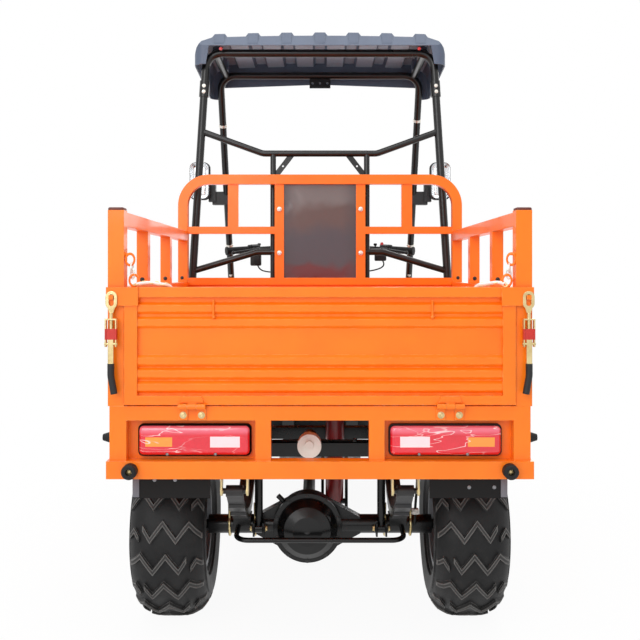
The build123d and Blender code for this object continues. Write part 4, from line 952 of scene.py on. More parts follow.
class Studio:
    """The camera, the soft light and the pale floor."""

    def __init__(self, shop: Paintshop) -> None:
        """Keep the paintshop for the floor's material."""
        self.shop = shop

    def camera(self) -> None:
        """Set the camera level behind the machine, as the photograph has it."""
        data = bpy.data.cameras.new("rear_view")
        data.lens = 51.3
        data.sensor_width = 36
        data.shift_y = -0.075
        eye = bpy.data.objects.new("rear_view", data)
        eye.location = (0, -4.03, 1.096)
        eye.rotation_euler = (math.radians(90), 0, 0)
        bpy.context.scene.collection.objects.link(eye)
        bpy.context.scene.camera = eye

    def lamps(self) -> None:
        """Hang three soft panels round the machine."""
        panels = (
            ("over_panel", (0.0, -0.6, 5.2), (0.0, 0.0, 0.0), 6.0, 190.0),
            ("rear_panel", (-2.2, -6.0, 3.4), (0.0, -0.6, 0.9), 4.0, 150.0),
            ("front_panel", (2.4, 6.0, 3.2), (0.0, 0.6, 0.9), 4.0, 110.0),
        )
        for name, place, target, size, power in panels:
            data = bpy.data.lights.new(name, "AREA")
            data.size = size
            data.energy = power
            lamp = bpy.data.objects.new(name, data)
            lamp.location = place
            way = Vector(target) - Vector(place)
            lamp.rotation_euler = way.to_track_quat("-Z", "Y").to_euler()
            bpy.context.scene.collection.objects.link(lamp)

    def world(self) -> None:
        """Fill the room with even light, white where the camera or a mirror looks."""
        world = bpy.data.worlds.new("studio_air")
        bpy.context.scene.world = world
        world.use_nodes = True
        world.node_tree.nodes.clear()
        tree = NodeTree(world.node_tree)
        seen = self.seen(tree)
        strength = tree.add("MapRange")
        tree.join(seen, strength.inputs["Value"])
        strength.inputs["To Min"].default_value = 0.62
        strength.inputs["To Max"].default_value = 1.0
        light = tree.add("Background")
        light.inputs["Color"].default_value = (1, 1, 1, 1)
        tree.join(strength.outputs["Result"], light.inputs["Strength"])
        tree.join(light.outputs[0], tree.add("OutputWorld").inputs["Surface"])

    @staticmethod
    def seen(tree: NodeTree) -> bpy.types.NodeSocket:
        """Tell what the camera sees straight, in a mirror or through glass.

        Args:
            tree: The node tree that asks.

        Returns:
            A socket that is one for such rays.
        """
        path = tree.add("LightPath")
        straight = tree.maths("MAXIMUM", path.outputs["Is Camera Ray"], path.outputs["Is Glossy Ray"])
        return tree.maths("MAXIMUM", straight, path.outputs["Is Transmission Ray"])

    def floor(self) -> None:
        """Lay a pale floor that fades into the white room."""
        Bench.clear()
        bpy.ops.mesh.primitive_plane_add(size=60)
        ground = Bench.settle("studio_floor", Matrix.Translation((0, 0, -0.001)))
        material, tree, shader = self.shop.open("pale_floor")
        shader.inputs["Base Color"].default_value = (0.86, 0.86, 0.86, 1)
        shader.inputs["Roughness"].default_value = 0.9
        shader.inputs["Specular IOR Level"].default_value = 0.1
        span = tree.add("VectorMath", operation="LENGTH")
        tree.join(tree.add("TexCoord").outputs["Object"], span.inputs[0])
        far = tree.ramp(span.outputs["Value"], 0.4, 3.4)
        glow = tree.add("Emission")
        glow.inputs["Color"].default_value = (1, 1, 1, 1)
        near = tree.maths("MULTIPLY", far, 0.07)
        share = tree.maths("ADD", near, 0.93)
        share = tree.maths("MULTIPLY", share, self.seen(tree))
        mixed = tree.add("MixShader")
        tree.join(share, mixed.inputs[0])
        tree.join(shader.outputs[0], mixed.inputs[1])
        tree.join(glow.outputs[0], mixed.inputs[2])
        end = [n for n in material.node_tree.nodes if n.type == "OUTPUT_MATERIAL"][0]
        tree.join(mixed.outputs[0], end.inputs["Surface"])
        ground.data.materials.append(material)

    def build(self) -> None:
        """Set the whole studio."""
        self.camera()
        self.lamps()
        self.world()
        self.floor()


ORANGE = linear(251, 124, 14)
ZINC = linear(228, 208, 156)
RUBBER = linear(20, 20, 22)
COATS = (
    # orange paint: its edge colour is a painted highlight along edges and rib tops
    Coat("orange_paint", ORANGE, linear(243, 111, 8), 0.34, 0.12, clear=0.2, grain_scale=420, relief=0.00012,
         cloud=0.5, edge_radius=0.0026, edge_colour=linear(255, 186, 104), edge_amount=0.85, specular=0.35),
    Coat("black_paint", linear(12, 12, 13), linear(19, 18, 20), 0.3, 0.2, clear=0.2, grain_scale=600,
         relief=0.0001, edge_colour=linear(70, 70, 74), edge_amount=0.45, dust=0.07, specular=0.4),
    Coat("red_paint", linear(150, 20, 26), linear(112, 14, 18), 0.35, 0.2, clear=0.3, dust=0.12),
    # tyre: its edge colour and its colour for the bars' top rims are painted highlights
    Coat("tyre", linear(20, 20, 21), linear(15, 15, 16), 0.55, 0.2, grain_scale=260, relief=0.0006, cloud=0.6,
         cloud_scale=14, edge_colour=linear(104, 103, 102), edge_amount=0.8, edge_radius=0.0035, dust=0.1,
         dust_colour=linear(96, 92, 88), specular=0.3, rim_highlight_colour=linear(116, 114, 112)),
    Coat("black_rubber", RUBBER, linear(30, 30, 32), 0.6, 0.2, grain_scale=500, relief=0.0003, specular=0.3),
    # roof: its colour on faces that look down is painted light
    Coat("roof_plastic", linear(84, 95, 115), linear(72, 82, 100), 0.42, 0.15, grain_scale=1300,
         relief=0.0004, edge_colour=linear(134, 142, 158), edge_amount=0.4,
         painted_downward_light=linear(140, 150, 166)),
    Coat("black_plastic", linear(26, 27, 30), linear(20, 21, 24), 0.45, 0.15, grain_scale=1300, relief=0.0004,
         edge_colour=linear(90, 92, 98), edge_amount=0.35),
    # a darker copy of the black paint for the underbody: glossier black, darkened further as painted shade
    Coat("shaded_black_paint", linear(7, 7, 8), linear(12, 11, 12), 0.28, 0.15, clear=0.1, grain_scale=600,
         relief=0.0001, edge_colour=linear(52, 52, 55), edge_amount=0.35, specular=0.35),
    Coat("flap_rubber", linear(10, 8, 8), linear(18, 12, 11), 0.5, 0.2, relief=0.0004, specular=0.25),
    Coat("flap_strip", linear(112, 111, 118), linear(96, 95, 102), 0.5, 0.1),
    Coat("white_plastic", linear(236, 234, 228), linear(222, 219, 212), 0.4, 0.1),
    Coat("orange_plastic", linear(252, 122, 28), linear(246, 108, 20), 0.26, 0.1, clear=0.6, grain_scale=500,
         relief=0.00008),
    Coat("zinc", ZINC, linear(186, 160, 104), 0.32, 0.2, metallic=0.9, grain_scale=700, cloud_scale=24,
         cloud=0.7),
    Coat("white_zinc", linear(232, 228, 220), linear(206, 200, 190), 0.3, 0.15, metallic=0.7, cloud_scale=30),
    Coat("steel", linear(150, 152, 156), linear(120, 122, 126), 0.34, 0.2, metallic=0.9, cloud_scale=14,
         dust=0.25),
    Coat("cast_alloy", linear(150, 150, 152), linear(128, 128, 130), 0.5, 0.2, metallic=0.6, grain_scale=380,
         relief=0.0007, dust=0.3),
    Coat("seat_cover", linear(36, 36, 38), linear(46, 46, 48), 0.5, 0.15, grain_scale=420, relief=0.0008),
    Coat("mirror_glass", linear(238, 240, 242), linear(228, 231, 235), 0.04, 0.02, metallic=1.0, cloud=0.3),
    Coat("dark_plug", linear(96, 40, 30), linear(74, 30, 24), 0.5, 0.1),
    Coat("red_plastic", linear(214, 30, 30), linear(190, 20, 22), 0.3, 0.1, clear=0.4),
    Coat("clear_sleeve", linear(236, 226, 222), linear(220, 204, 200), 0.2, 0.1, clear=0.6, cloud_scale=120),
)
ZONED_COATS = (
    ZonedCoat(
        # the creases of the lens film are painted highlights
        Coat("lamp_lens", linear(226, 20, 46), linear(204, 12, 34), 0.12, 0.08, clear=1.0, grain_scale=90,
             relief=0.0012, cloud_scale=40, film=0.8),
        (
            # painted pale pink sheen on the upper part of the lenses
            Zone((0.1, -1.6, 0.646), (0.6, -1.4, 0.7), linear(234, 104, 124), 0.14, soft=0.009),
            Zone((0.413, -1.6, 0.608), (0.488, -1.4, 0.634), linear(246, 150, 40), 0.14),
            Zone((0.224, -1.6, 0.606), (0.307, -1.4, 0.636), linear(250, 218, 222), 0.14),
        ),
    ),
    ZonedCoat(
        Coat("latch_metal", ZINC, linear(190, 164, 108), 0.3, 0.2, metallic=0.9, cloud_scale=24, cloud=0.7),
        (
            Zone((0.5, -1.6, 0.909), (0.7, -1.4, 0.939), linear(196, 44, 36), 0.4),
            Zone((0.5, -1.6, 0.70), (0.7, -1.4, 0.843), RUBBER, 0.6),
        ),
    ),
    ZonedCoat(
        Coat("beige_plastic", linear(252, 248, 240), linear(240, 234, 222), 0.5, 0.15, grain_scale=600),
        (Zone((-1.0, -1.252, 0.4), (1.0, -1.0, 0.7), linear(30, 30, 32), 0.4, 0.3, False),),
    ),
    ZonedCoat(
        Coat("spring_steel", linear(24, 24, 27), linear(36, 36, 39), 0.4, 0.2, dust=0.15),
        (
            Zone((0.283, -1.5, 0.4), (0.3, -1.3, 0.7), ZINC, 0.35, 0.9),
            Zone((0.2, -1.5, 0.4), (0.217, -1.3, 0.7), ZINC, 0.35, 0.9),
        ),
    ),
)
SPECIAL_NODES = {
    "tailgate_latch_left": "latch_metal",
    "tailgate_latch_right": "latch_metal",
    "leaf_spring_left": "spring_steel",
    "leaf_spring_right": "spring_steel",
    "roof": "roof_plastic",
    "mudflaps": "flap_rubber",
    # the underbody parts take the darker black, a painted shade
    "rear_axle": "shaded_black_paint",
    "axle_guard_bar": "shaded_black_paint",
    "rear_dampers": "shaded_black_paint",
    "chassis_frame": "shaded_black_paint",
    "prop_shaft": "shaded_black_paint",
    "silencer": "shaded_black_paint",
}
LAMP_MIDDLE = (0.110, 0.620)
LAMP_RINGS = (
    (0.0, linear(92, 96, 102)),
    (0.011, linear(196, 201, 208)),
    (0.046, linear(168, 173, 180)),
    (0.054, linear(222, 226, 230)),
)


class Dressing:
    """Puts finishes on the frame's own nodes."""

    def __init__(self, frame: dict, shop: Paintshop) -> None:
        """Keep the frame and the paintshop."""
        self.nodes = frame["nodes"]
        self.slots = {row["node"]: row["material_slot"] for row in frame["record"]["subparts"]}
        self.shop = shop

    def apply(self) -> None:
        """Give every node the finish of its slot."""
        for name, node in self.nodes.items():
            node.data.materials.clear()
            finish = SPECIAL_NODES.get(name, self.slots[name])
            node.data.materials.append(self.shop.of(finish))
            LOG.info("dressed %s in %s", name, finish)


@dataclass
class Trim:
    """What every sub-assembly of small pieces shares."""

    shop: Paintshop
    body: str = "chassis"

    def fit(
        self, piece: bpy.types.Object, finish: str, slot: str, body: str | None = None
    ) -> bpy.types.Object:
        """Finish a piece and hang it on its body.

        Args:
            piece: The piece, in place.
            finish: The name of its finish.
            slot: The record's material slot for the piece; not used.
            body: The body that it rides on, if not this sub-assembly's own.

        Returns:
            The piece.
        """
        if piece.type == "MESH":
            Bench.smooth(piece)
        piece.data.materials.clear()
        piece.data.materials.append(self.shop.of(finish))
        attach(piece, body or self.body)
        LOG.info("fitted %s", piece.name)
        return piece

    def spread(self, name: str, first: bpy.types.Object, moves: Iterable[Matrix]) -> bpy.types.Object:
        """Copy a piece to several places and join the copies.

        Args:
            name: The joined piece's name.
            first: The piece as modelled, used up by this.
            moves: Where each copy goes from the first.

        Returns:
            The joined copies.
        """
        copies = [Bench.copy(first, move) for move in moves]
        bpy.data.objects.remove(first)
        return Bench.join(name, copies)

    def bolts(
        self, name: str, places: Sequence[Point], facing: Facing, radius: float, sides: int = 6
    ) -> bpy.types.Object:
        """Model one headed bolt with its washer and set it in several places.

        Args:
            name: The joined bolts' name.
            places: Where each bolt's washer sits.
            facing: Which way the heads look.
            radius: The head's radius.
            sides: Six for a spanner head, more for a round one.

        Returns:
            The bolts as one piece.
        """
        high = radius * (0.75 if sides == 6 else 0.5)
        rim = ((radius * 1.45, 0), (radius * 1.5, radius * 0.16))
        washer = Bench.turned("washer", rim, (0, 0, 0), Facing.UP, 20)
        stages = [(radius, radius * 0.15), (radius, high), (radius * 0.82, high * 1.15)]
        if sides > 6:
            stages += [(radius * 0.45, high * 1.2), (radius * 0.4, high * 0.9)]
        head = Bench.turned("head", stages, (0, 0, 0), Facing.UP, sides)
        first = Bench.join(name, (washer, head))
        turn = facing.turn()
        return self.spread(name, first, [Matrix.Translation(place) @ turn for place in places])


@dataclass
class TailLamps(Trim):
    """The two long tail lamps with their windows, rims and screws."""

    body: str = "bed"
    rim: float = 0.004
    base_depth: float = 0.012
    lens_edge: float = 0.013
    base_corner: float = 0.014
    screw: float = 0.0028
    screw_rise: float = 0.0075

    def lens(self, name: str, node: str) -> bpy.types.Object:
        """Model a pillowed lens on a stepped base.

        Args:
            name: The lens's name.
            node: The CAD lamp that it stands for.

        Returns:
            The lens.
        """
        low, high = (Vector(c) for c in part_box(node))
        size = high - low
        Bench.start_cube((size.x - 2 * self.rim, size.y - self.base_depth / 2, size.z - 2 * self.rim))
        bpy.ops.mesh.bevel(offset=self.lens_edge, segments=5, affect="EDGES")
        bpy.ops.mesh.select_all(action="SELECT")
        bpy.ops.mesh.subdivide(number_cuts=3)
        Bench.close()
        middle = (low + high) / 2
        middle.y -= self.base_depth / 4
        return Bench.settle(name, Matrix.Translation(middle))

    def base(self, name: str, node: str) -> bpy.types.Object:
        """Model the dark base that shows as a rim round the lens.

        Args:
            name: The base's name.
            node: The CAD lamp that it stands for.

        Returns:
            The base.
        """
        low, high = (Vector(c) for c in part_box(node))
        size = high - low
        Bench.start_cube((size.x, self.base_depth, size.z))
        bpy.ops.mesh.select_all(action="DESELECT")
        Bench.pick(lambda spot: True, "EDGE", 1)
        bpy.ops.mesh.bevel(offset=self.base_corner, segments=6, affect="EDGES")
        Bench.close()
        middle = (low + high) / 2
        middle.y = high.y - self.base_depth / 2
        return Bench.settle(name, Matrix.Translation(middle))

    def build(self) -> None:
        """Build both lamps."""
        for side in ("left", "right"):
            node = f"tail_lamp_{side}"
            lens = self.fit(self.lens(f"lamp_lens_{side}", node), "lamp_lens", "lamp_lens")
            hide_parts(node)
            self.fit(self.base(f"lamp_base_{side}", node), "black_rubber", "black_rubber")
            low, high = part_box(node)
            middle = (low[0] + high[0]) / 2
            spots = [(middle + x, low[1] + 0.0005, low[2] + self.screw_rise) for x in (-0.075, 0.06)]
            screws = self.bolts(f"lamp_screws_{side}", spots, Facing.REAR, self.screw, 16)
            self.fit(screws, "steel", "steel")


@dataclass
class GateTrim(Trim):
    """Bolts, pins and screws of the tailgate, tail rail and headboard."""

    body: str = "bed"
    hinges: tuple[float, float] = (-0.355, 0.362)
    hinge_bolt_pitch: float = 0.051
    post_x: float = 0.5695
    cap_half: float = 0.0222
    cap_y: float = -1.4655
    pin_places: tuple[float, float] = (-0.2965, 0.313)

    def pins(self) -> bpy.types.Object:
        """Turn the two drop pins of the tailgate, each with its knob.

        Returns:
            The pins as one piece.
        """
        rod = ((0.0028, -0.026), (0.0032, -0.024), (0.0032, 0.0), (0.0026, 0.019))
        knob = ((0.0022, -0.032), (0.0048, -0.030), (0.0048, -0.026), (0.003, -0.024))
        pieces = [
            Bench.turned("pin", outline, (x, -1.4925, 0.998), Facing.UP, 12)
            for x in self.pin_places for outline in (rod, knob)
        ]
        return Bench.join("gate_pins", pieces)

    def build(self) -> None:
        """Build the fasteners."""
        halves = (-self.hinge_bolt_pitch / 2, self.hinge_bolt_pitch / 2)
        spots = [(x + half, -1.494, 0.698) for x in self.hinges for half in halves]
        self.fit(self.bolts("gate_hinge_bolts", spots, Facing.REAR, 0.0066, 16), "zinc", "zinc")
        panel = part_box("headboard")[0][1]
        spots = [(x, panel, z) for x in (-0.17, 0.17) for z in (1.176, 1.359)]
        self.fit(self.bolts("panel_screws", spots, Facing.REAR, 0.0065, 16), "white_zinc", "zinc")
        spots = [(x, -1.512, 0.545) for x in (-0.526, 0.526)]
        self.fit(self.bolts("buffer_bolts", spots, Facing.REAR, 0.0055), "zinc", "zinc")
        for side, sign in (("left", -1), ("right", 1)):
            spots = [(sign * 0.570, y, 1.072) for y in (-1.105, -0.670, -0.261)]
            stakes = self.bolts(f"stake_bolts_{side}", spots, Facing.REAR, 0.0048)
            self.fit(stakes, "black_paint", "black_paint", f"side_{side}")
        caps = []
        for x in (-self.post_x, self.post_x):
            low = (x - self.cap_half, self.cap_y - self.cap_half, 1.267)
            high = (x + self.cap_half, self.cap_y + self.cap_half, 1.277)
            caps.append(Bench.block("cap", low, high, 0.0045))
        self.fit(Bench.join("post_caps", caps), "dark_plug", "black_rubber")
        self.fit(self.pins(), "orange_paint", "orange_paint", "tailgate")


@dataclass
class CageTrim(Trim):
    """Splice bolts, clamps and rivets on the roll cage."""

    hoop_foot: tuple[float, float] = (0.578, 0.6)
    hoop_lean: float = 0.091 / 1.436
    post_x: float = 0.477
    post_top: tuple[float, float] = (0.34, 2.036)
    post_foot: tuple[float, float] = (1.014, 0.8)
    tube: float = 0.017
    post_bolt_z: float = 1.08

    def rake(self) -> float:
        """Give how far the front posts run forward for each step down."""
        return (self.post_foot[0] - self.post_top[0]) / (self.post_top[1] - self.post_foot[1])

    def post_y(self, z: float) -> float:
        """Find where the middle of a front post is at a height.

        Args:
            z: The height.

        Returns:
            Its place along the machine.
        """
        return self.post_top[0] + (self.post_top[1] - z) * self.rake()

    def clamps(self) -> bpy.types.Object:
        """Turn the bands of the four clamps on the front posts, each with its lug.

        Returns:
            The clamps as one piece.
        """
        lean = aim((0, -self.rake(), 1))
        ring = ((0.0172, -0.007), (0.0196, -0.006), (0.0196, 0.006), (0.0172, 0.007))
        bands = []
        for sign, z in ((-1, 1.815), (1, 1.839), (-1, 1.238), (1, 1.238)):
            x, y = sign * self.post_x, self.post_y(z)
            bands.append(Bench.turned("band", ring, (x, y, z), lean, 28))
            low = (x - sign * 0.016 - 0.004, y - 0.012, z - 0.006)
            bands.append(Bench.block("lug", low, (low[0] + 0.008, y + 0.008, z + 0.006)))
        return Bench.join("post_clamps", bands)

    def build(self) -> None:
        """Build the fasteners."""
        spots = []
        for z in (1.868, 1.893):
            x = self.hoop_foot[0] - self.hoop_lean * (z - self.hoop_foot[1])
            spots += [(-x, -0.1305, z), (x, -0.1305, z)]
        self.fit(self.bolts("splice_bolts", spots, Facing.REAR, 0.0053, 16), "white_zinc", "zinc")
        self.fit(self.clamps(), "white_zinc", "zinc")
        y = self.post_y(self.post_bolt_z) - self.tube
        spots = [(x, y, self.post_bolt_z) for x in (-self.post_x, self.post_x)]
        self.fit(self.bolts("post_bolts", spots, Facing.REAR, 0.006, 16), "white_zinc", "zinc")
        spots = [(x, -0.168, 2.042) for x in (-0.42, 0.42)]
        rivets = self.bolts("roof_rivets", spots, Facing.REAR, 0.005, 16)
        self.fit(rivets, "red_plastic", "red_paint")


@dataclass
class AxleTrim(Trim):
    """Spring clips, bolts, the brake hose and the brake pipe round the rear axle."""

    axle_y: float = -1.07
    axle_z: float = 0.28
    hose: float = 0.0042
    connector_z: float = 0.338
    pipe: float = 0.0046
    pipe_y: float = -1.130
    pipe_z: float = 0.5595
    clip_ring: float = 0.036
    clip_end: tuple[float, float] = (0.034, 0.075)
    damper_y: float = -1.125
    cover_x: float = -0.04
    cover_ring: float = 0.102
    cover_bolts: int = 10

    def brake_hose(self) -> None:
        """Hang the brake hose beside the right spring, with its white connector."""
        route = (
            (0.296, -1.100, 0.535), (0.311, -1.118, 0.500), (0.307, -1.150, 0.425), (0.300, -1.152, 0.352),
            (0.303, -1.124, 0.303), (0.303, -1.096, 0.284),
        )
        piece = Bench.path("brake_hose", route, self.hose)
        line = Bench.centreline(piece)
        self.fit(piece, "black_rubber", "black_rubber")
        spot = min(line, key=lambda point: abs(point.z - self.connector_z))
        low = (spot.x - 0.011, spot.y - 0.012, spot.z - 0.009)
        plug = Bench.block("hose_connector", low, (low[0] + 0.022, low[1] + 0.020, low[2] + 0.018), 0.003)
        self.fit(plug, "white_plastic", "beige_plastic")
        Bench.run_length(line)

    def brake_pipe(self) -> bpy.types.Object:
        """Bend the steel brake pipe that is clipped along the rear cross member.

        Returns:
            The pipe with its clips.
        """
        run = [(x, self.pipe_y, self.pipe_z) for x in (-0.206, 0.0, 0.206)]
        line = [(-0.212, -1.128, 0.553), *run, (0.212, -1.128, 0.553)]
        pieces = [Bench.wire("pipe", line, self.pipe)]
        for x in (-0.16, -0.06, 0.11, 0.17):
            low = (x - 0.006, self.pipe_y - 0.008, self.pipe_z - 0.005)
            high = (x + 0.006, self.pipe_y + 0.008, self.pipe_z + 0.0065)
            pieces.append(Bench.block("clip", low, high))
        return Bench.join("brake_pipe", pieces)

    def clips(self) -> bpy.types.Object:
        """Bend the four clips that hold the springs on the axle tube.

        Returns:
            The clips as one piece.
        """
        turns = [math.radians(angle) for angle in range(40, 330, 20)]
        ring = [(self.clip_ring * math.sin(turn), self.clip_ring * math.cos(turn)) for turn in turns]
        out, top = self.clip_end
        outline = [(out, top), *ring, (-out, top)]
        pieces = []
        for x in (-0.291, -0.209, 0.209, 0.291):
            line = [(x, self.axle_y + y, self.axle_z + z) for y, z in outline]
            pieces.append(Bench.wire("clip", line, 0.004))
        return Bench.join("spring_clips", pieces)

    def build(self) -> None:
        """Build the axle's small pieces."""
        self.brake_hose()
        self.fit(self.brake_pipe(), "shaded_black_paint", "black_paint")
        self.fit(self.clips(), "zinc", "zinc")
        ends = ((-0.2165, Facing.LEFT), (0.2165, Facing.RIGHT), (-0.174, Facing.RIGHT), (0.174, Facing.LEFT))
        heads = [
            self.bolts(f"damper_head_{number}", [(x, self.damper_y, self.axle_z)], facing, 0.008)
            for number, (x, facing) in enumerate(ends)
        ]
        self.fit(Bench.join("damper_bolts", heads), "zinc", "zinc")
        ring = []
        for n in range(self.cover_bolts):
            turn = 2 * math.pi * (n + 0.5) / self.cover_bolts
            x = self.cover_x + self.cover_ring * math.cos(turn)
            ring.append((x, self.axle_y - 0.0565, self.axle_z + self.cover_ring * math.sin(turn)))
        self.fit(self.bolts("cover_bolts", ring, Facing.REAR, 0.0055), "black_paint", "black_paint")


@dataclass
class Tyres(Trim):
    """Four tyres with a moulded carcass and zig-zag tread bars."""

    bar_width: float = 0.022
    bar_height: float = 0.011
    ridge: float = 0.0045
    rim_radius: float = 0.1275
    bead_inset: float = 0.028
    steps: int = 80
    cuts: int = 4
    draft: float = 0.82
    root: float = 0.001

    def section(self, half: float, radius: float) -> list[tuple[float, float]]:
        """Give half of the carcass's section, from the bead to the crown.

        Args:
            half: Half the tyre's width.
            radius: Its radius over the tread bars.

        Returns:
            Distance from the middle and radius of each point.
        """
        bead = half - self.bead_inset
        crown = radius - self.bar_height
        return [
            (bead, self.rim_radius), (bead + 0.004, 0.143), (bead + 0.012, 0.150), (bead + 0.0125, 0.156),
            (bead + 0.020, 0.160), (half - 0.003, 0.186), (half, 0.205), (half - 0.001, 0.212),
            (half - 0.005, 0.213), (half - 0.006, 0.219), (half - 0.010, 0.229),
            (half - 0.026, crown - 0.020), (half - 0.046, crown - 0.0075), (half - 0.070, crown - 0.001),
            (half * 0.2, crown),
        ]

    def carcass(self, name: str, half: float, radius: float) -> bpy.types.Object:
        """Spin the carcass from its section.

        Args:
            name: The piece's name.
            half: Half the tyre's width.
            radius: Its radius over the tread bars.

        Returns:
            The carcass about the X axis.
        """
        side = self.section(half, radius)
        outline = side + [(-x, r) for x, r in reversed(side)]
        Bench.clear()
        bpy.ops.mesh.primitive_circle_add(vertices=len(outline), radius=1)
        ring = bpy.context.active_object
        for vertex, (x, r) in zip(ring.data.vertices, outline):
            vertex.co = (x, 0, r)
        bpy.ops.object.mode_set(mode="EDIT")
        bpy.ops.mesh.select_all(action="SELECT")
        bpy.ops.mesh.spin(steps=self.steps, angle=2 * math.pi, center=(0, 0, 0), axis=(1, 0, 0))
        Bench.close()
        return Bench.settle(name, Matrix.Identity(4))

    def bar(
        self, name: str, line: Sequence[tuple[float, float]], half: float, radius: float
    ) -> bpy.types.Object:
        """Model one zig-zag tread bar and lay it round the crown.

        Args:
            name: The bar's name.
            line: Share of the half width and run along the tread of each corner.
            half: Half the tyre's width.
            radius: The tyre's radius over the bars.

        Returns:
            The bar, wrapped on the top of the wheel.
        """
        spine = []
        for (a, b), (c, d) in zip(line, line[1:]):
            shares = [n / self.cuts for n in range(self.cuts)]
            spine += [((a + (c - a) * share) * half, b + (d - b) * share) for share in shares]
        spine.append((line[-1][0] * half, line[-1][1]))
        Bench.clear()
        bpy.ops.mesh.primitive_grid_add(x_subdivisions=len(spine) - 1, y_subdivisions=1, size=1)
        strip = bpy.context.active_object
        for number, vertex in enumerate(strip.data.vertices):
            x, run = spine[number % len(spine)]
            edge = self.bar_width / 2 if number >= len(spine) else -self.bar_width / 2
            vertex.co = (x, run + edge, 0)
        bpy.ops.object.mode_set(mode="EDIT")
        bpy.ops.mesh.select_all(action="SELECT")
        bpy.ops.mesh.extrude_region_move(TRANSFORM_OT_translate={"value": (0, 0, 0.6)})
        bpy.ops.mesh.extrude_region_move(TRANSFORM_OT_translate={"value": (0, 0, 0.4)})
        bpy.ops.mesh.inset(thickness=self.ridge)
        bpy.ops.transform.translate(value=(0, 0, -0.15))
        Bench.close()
        # mark the top rims of the bars, where the painted highlight goes
        marks = strip.data.attributes.new("rim_highlight", "FLOAT", "POINT")
        for mark, vertex in zip(marks.data, strip.data.vertices):
            mark.value = 1.0 if vertex.co.z > 0.9 else 0.12
        side = sorted((x, r) for x, r in self.section(half, radius) if r > 0.2)
        for vertex in strip.data.vertices:
            x, run, rise = vertex.co
            reach = min(max(abs(x), side[0][0]), side[-1][0])
            for (a, low), (b, high) in zip(side, side[1:]):
                if a <= reach <= b:
                    base = low + (high - low) * (reach - a) / max(b - a, 1e-6)
                    break
            middle = self.near(spine, x)
            taper = self.draft if rise > 0.5 else 1.0
            tall = min(radius, base + rise * (self.bar_height + self.root) - self.root)
            turn = ((run - middle) * taper + middle) / radius
            vertex.co = (x, tall * math.sin(turn), tall * math.cos(turn))
        return Bench.settle(name, Matrix.Identity(4))

    @staticmethod
    def near(spine: Sequence[tuple[float, float]], x: float) -> float:
        """Find how far along the tread the middle of a bar is.

        Args:
            spine: The points of the bar's middle.
            x: Distance across the tread.

        Returns:
            The run of the nearest point.
        """
        return min(spine, key=lambda spot: abs(spot[0] - x))[1]

    def tyre(self, end: str, side: str, sign: int) -> None:
        """Build one tyre.

        Args:
            end: Front or rear.
            side: Left or right.
            sign: Which way the tread leans.
        """
        node = f"tyre_{end}_{side}"
        low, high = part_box(node)
        half = (high[0] - low[0]) / 2
        radius = (high[2] - low[2]) / 2
        zig = (
            (-0.93, -0.016), (-0.62, 0.024), (-0.3, -0.026), (0.04, 0.026), (0.36, -0.024), (0.56, 0.012),
        )
        block = ((0.66, -0.022), (0.8, 0.004), (0.95, -0.02))
        rows = 18 if end == "rear" else 16
        pieces = [self.carcass("carcass", half, radius)]
        pieces[0].data.attributes.new("rim_highlight", "FLOAT", "POINT")
        for line in (zig, block):
            bar = self.bar("bar", line, half, radius)
            for row in range(rows):
                flip = Matrix.Scale(-1 if row % 2 else 1, 4, (1, 0, 0))
                turn = Matrix.Rotation(2 * math.pi * row / rows + math.pi, 4, "X")
                pieces.append(Bench.copy(bar, turn @ flip @ Matrix.Scale(sign, 4, (1, 0, 0))))
            bpy.data.objects.remove(bar)
        whole = Bench.join(f"tread_{end}_{side}", pieces)
        middle = [(a + b) / 2 for a, b in zip(low, high)]
        whole.data.transform(Matrix.Translation((middle[0], middle[1], radius)))
        self.fit(whole, "tyre", "tyre", f"{end}_wheel_{side}")
        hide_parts(node)

    def build(self) -> None:
        """Build the four tyres."""
        for end in ("rear", "front"):
            for side, sign in (("left", 1), ("right", -1)):
                self.tyre(end, side, sign)


@dataclass
class MirrorTrim(Trim):
    """The glass in the two mirrors."""

    size: Point = (0.092, 0.003, 0.178)
    corner: float = 0.026
    rim: float = 0.003
    bulge: float = 0.0008
    place_x: float = 0.608
    place_z: float = 1.556

    def build(self) -> None:
        """Build both glasses."""
        for side, sign in (("left", -1), ("right", 1)):
            Bench.start_cube(self.size)
            Bench.pick(lambda spot: True, "EDGE", 1)
            bpy.ops.mesh.bevel(offset=self.corner, segments=8, affect="EDGES")
            Bench.pick(lambda spot: spot.y < 0, "FACE")
            bpy.ops.mesh.inset(thickness=self.rim)
            bpy.ops.transform.translate(value=(0, -self.bulge, 0))
            Bench.close()
            place = (sign * self.place_x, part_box(f"mirror_{side}")[0][1], self.place_z)
            glass = Bench.settle(f"mirror_glass_{side}", Matrix.Translation(place))
            self.fit(glass, "mirror_glass", "steel")


@dataclass
class FrontTrim(Trim):
    """Bezels of the headlamps and the mudflaps' strips and bolts."""

    bezel: tuple[float, float] = (0.0645, 0.0045)
    bezel_y: float = 1.331
    flap_bolts: tuple[tuple[float, float], ...] = (
        (-0.468, 0.508), (-0.410, 0.508), (0.422, 0.487), (0.493, 0.487),
    )

    def build(self) -> None:
        """Build the bezels, strips and bolts."""
        ring = Bench.torus("bezel", self.bezel, (48, 10), (1, 1, 1.7), Facing.FRONT.turn())
        x, z = LAMP_MIDDLE
        moves = [Matrix.Translation((side, self.bezel_y, z)) for side in (-x, x)]
        self.fit(self.spread("headlamp_bezels", ring, moves), "steel", "steel")
        strips = [
            Bench.block("strip", (min(a, b), -1.4535, 0.459), (max(a, b), -1.4498, 0.520))
            for a, b in ((-0.530, -0.511), (0.511, 0.530))
        ]
        self.fit(Bench.join("flap_strips", strips), "flap_strip", "black_rubber", "bed")
        spots = [(x, -1.4502, z) for x, z in self.flap_bolts]
        self.fit(self.bolts("flap_bolts", spots, Facing.REAR, 0.0036, 16), "steel", "steel", "bed")


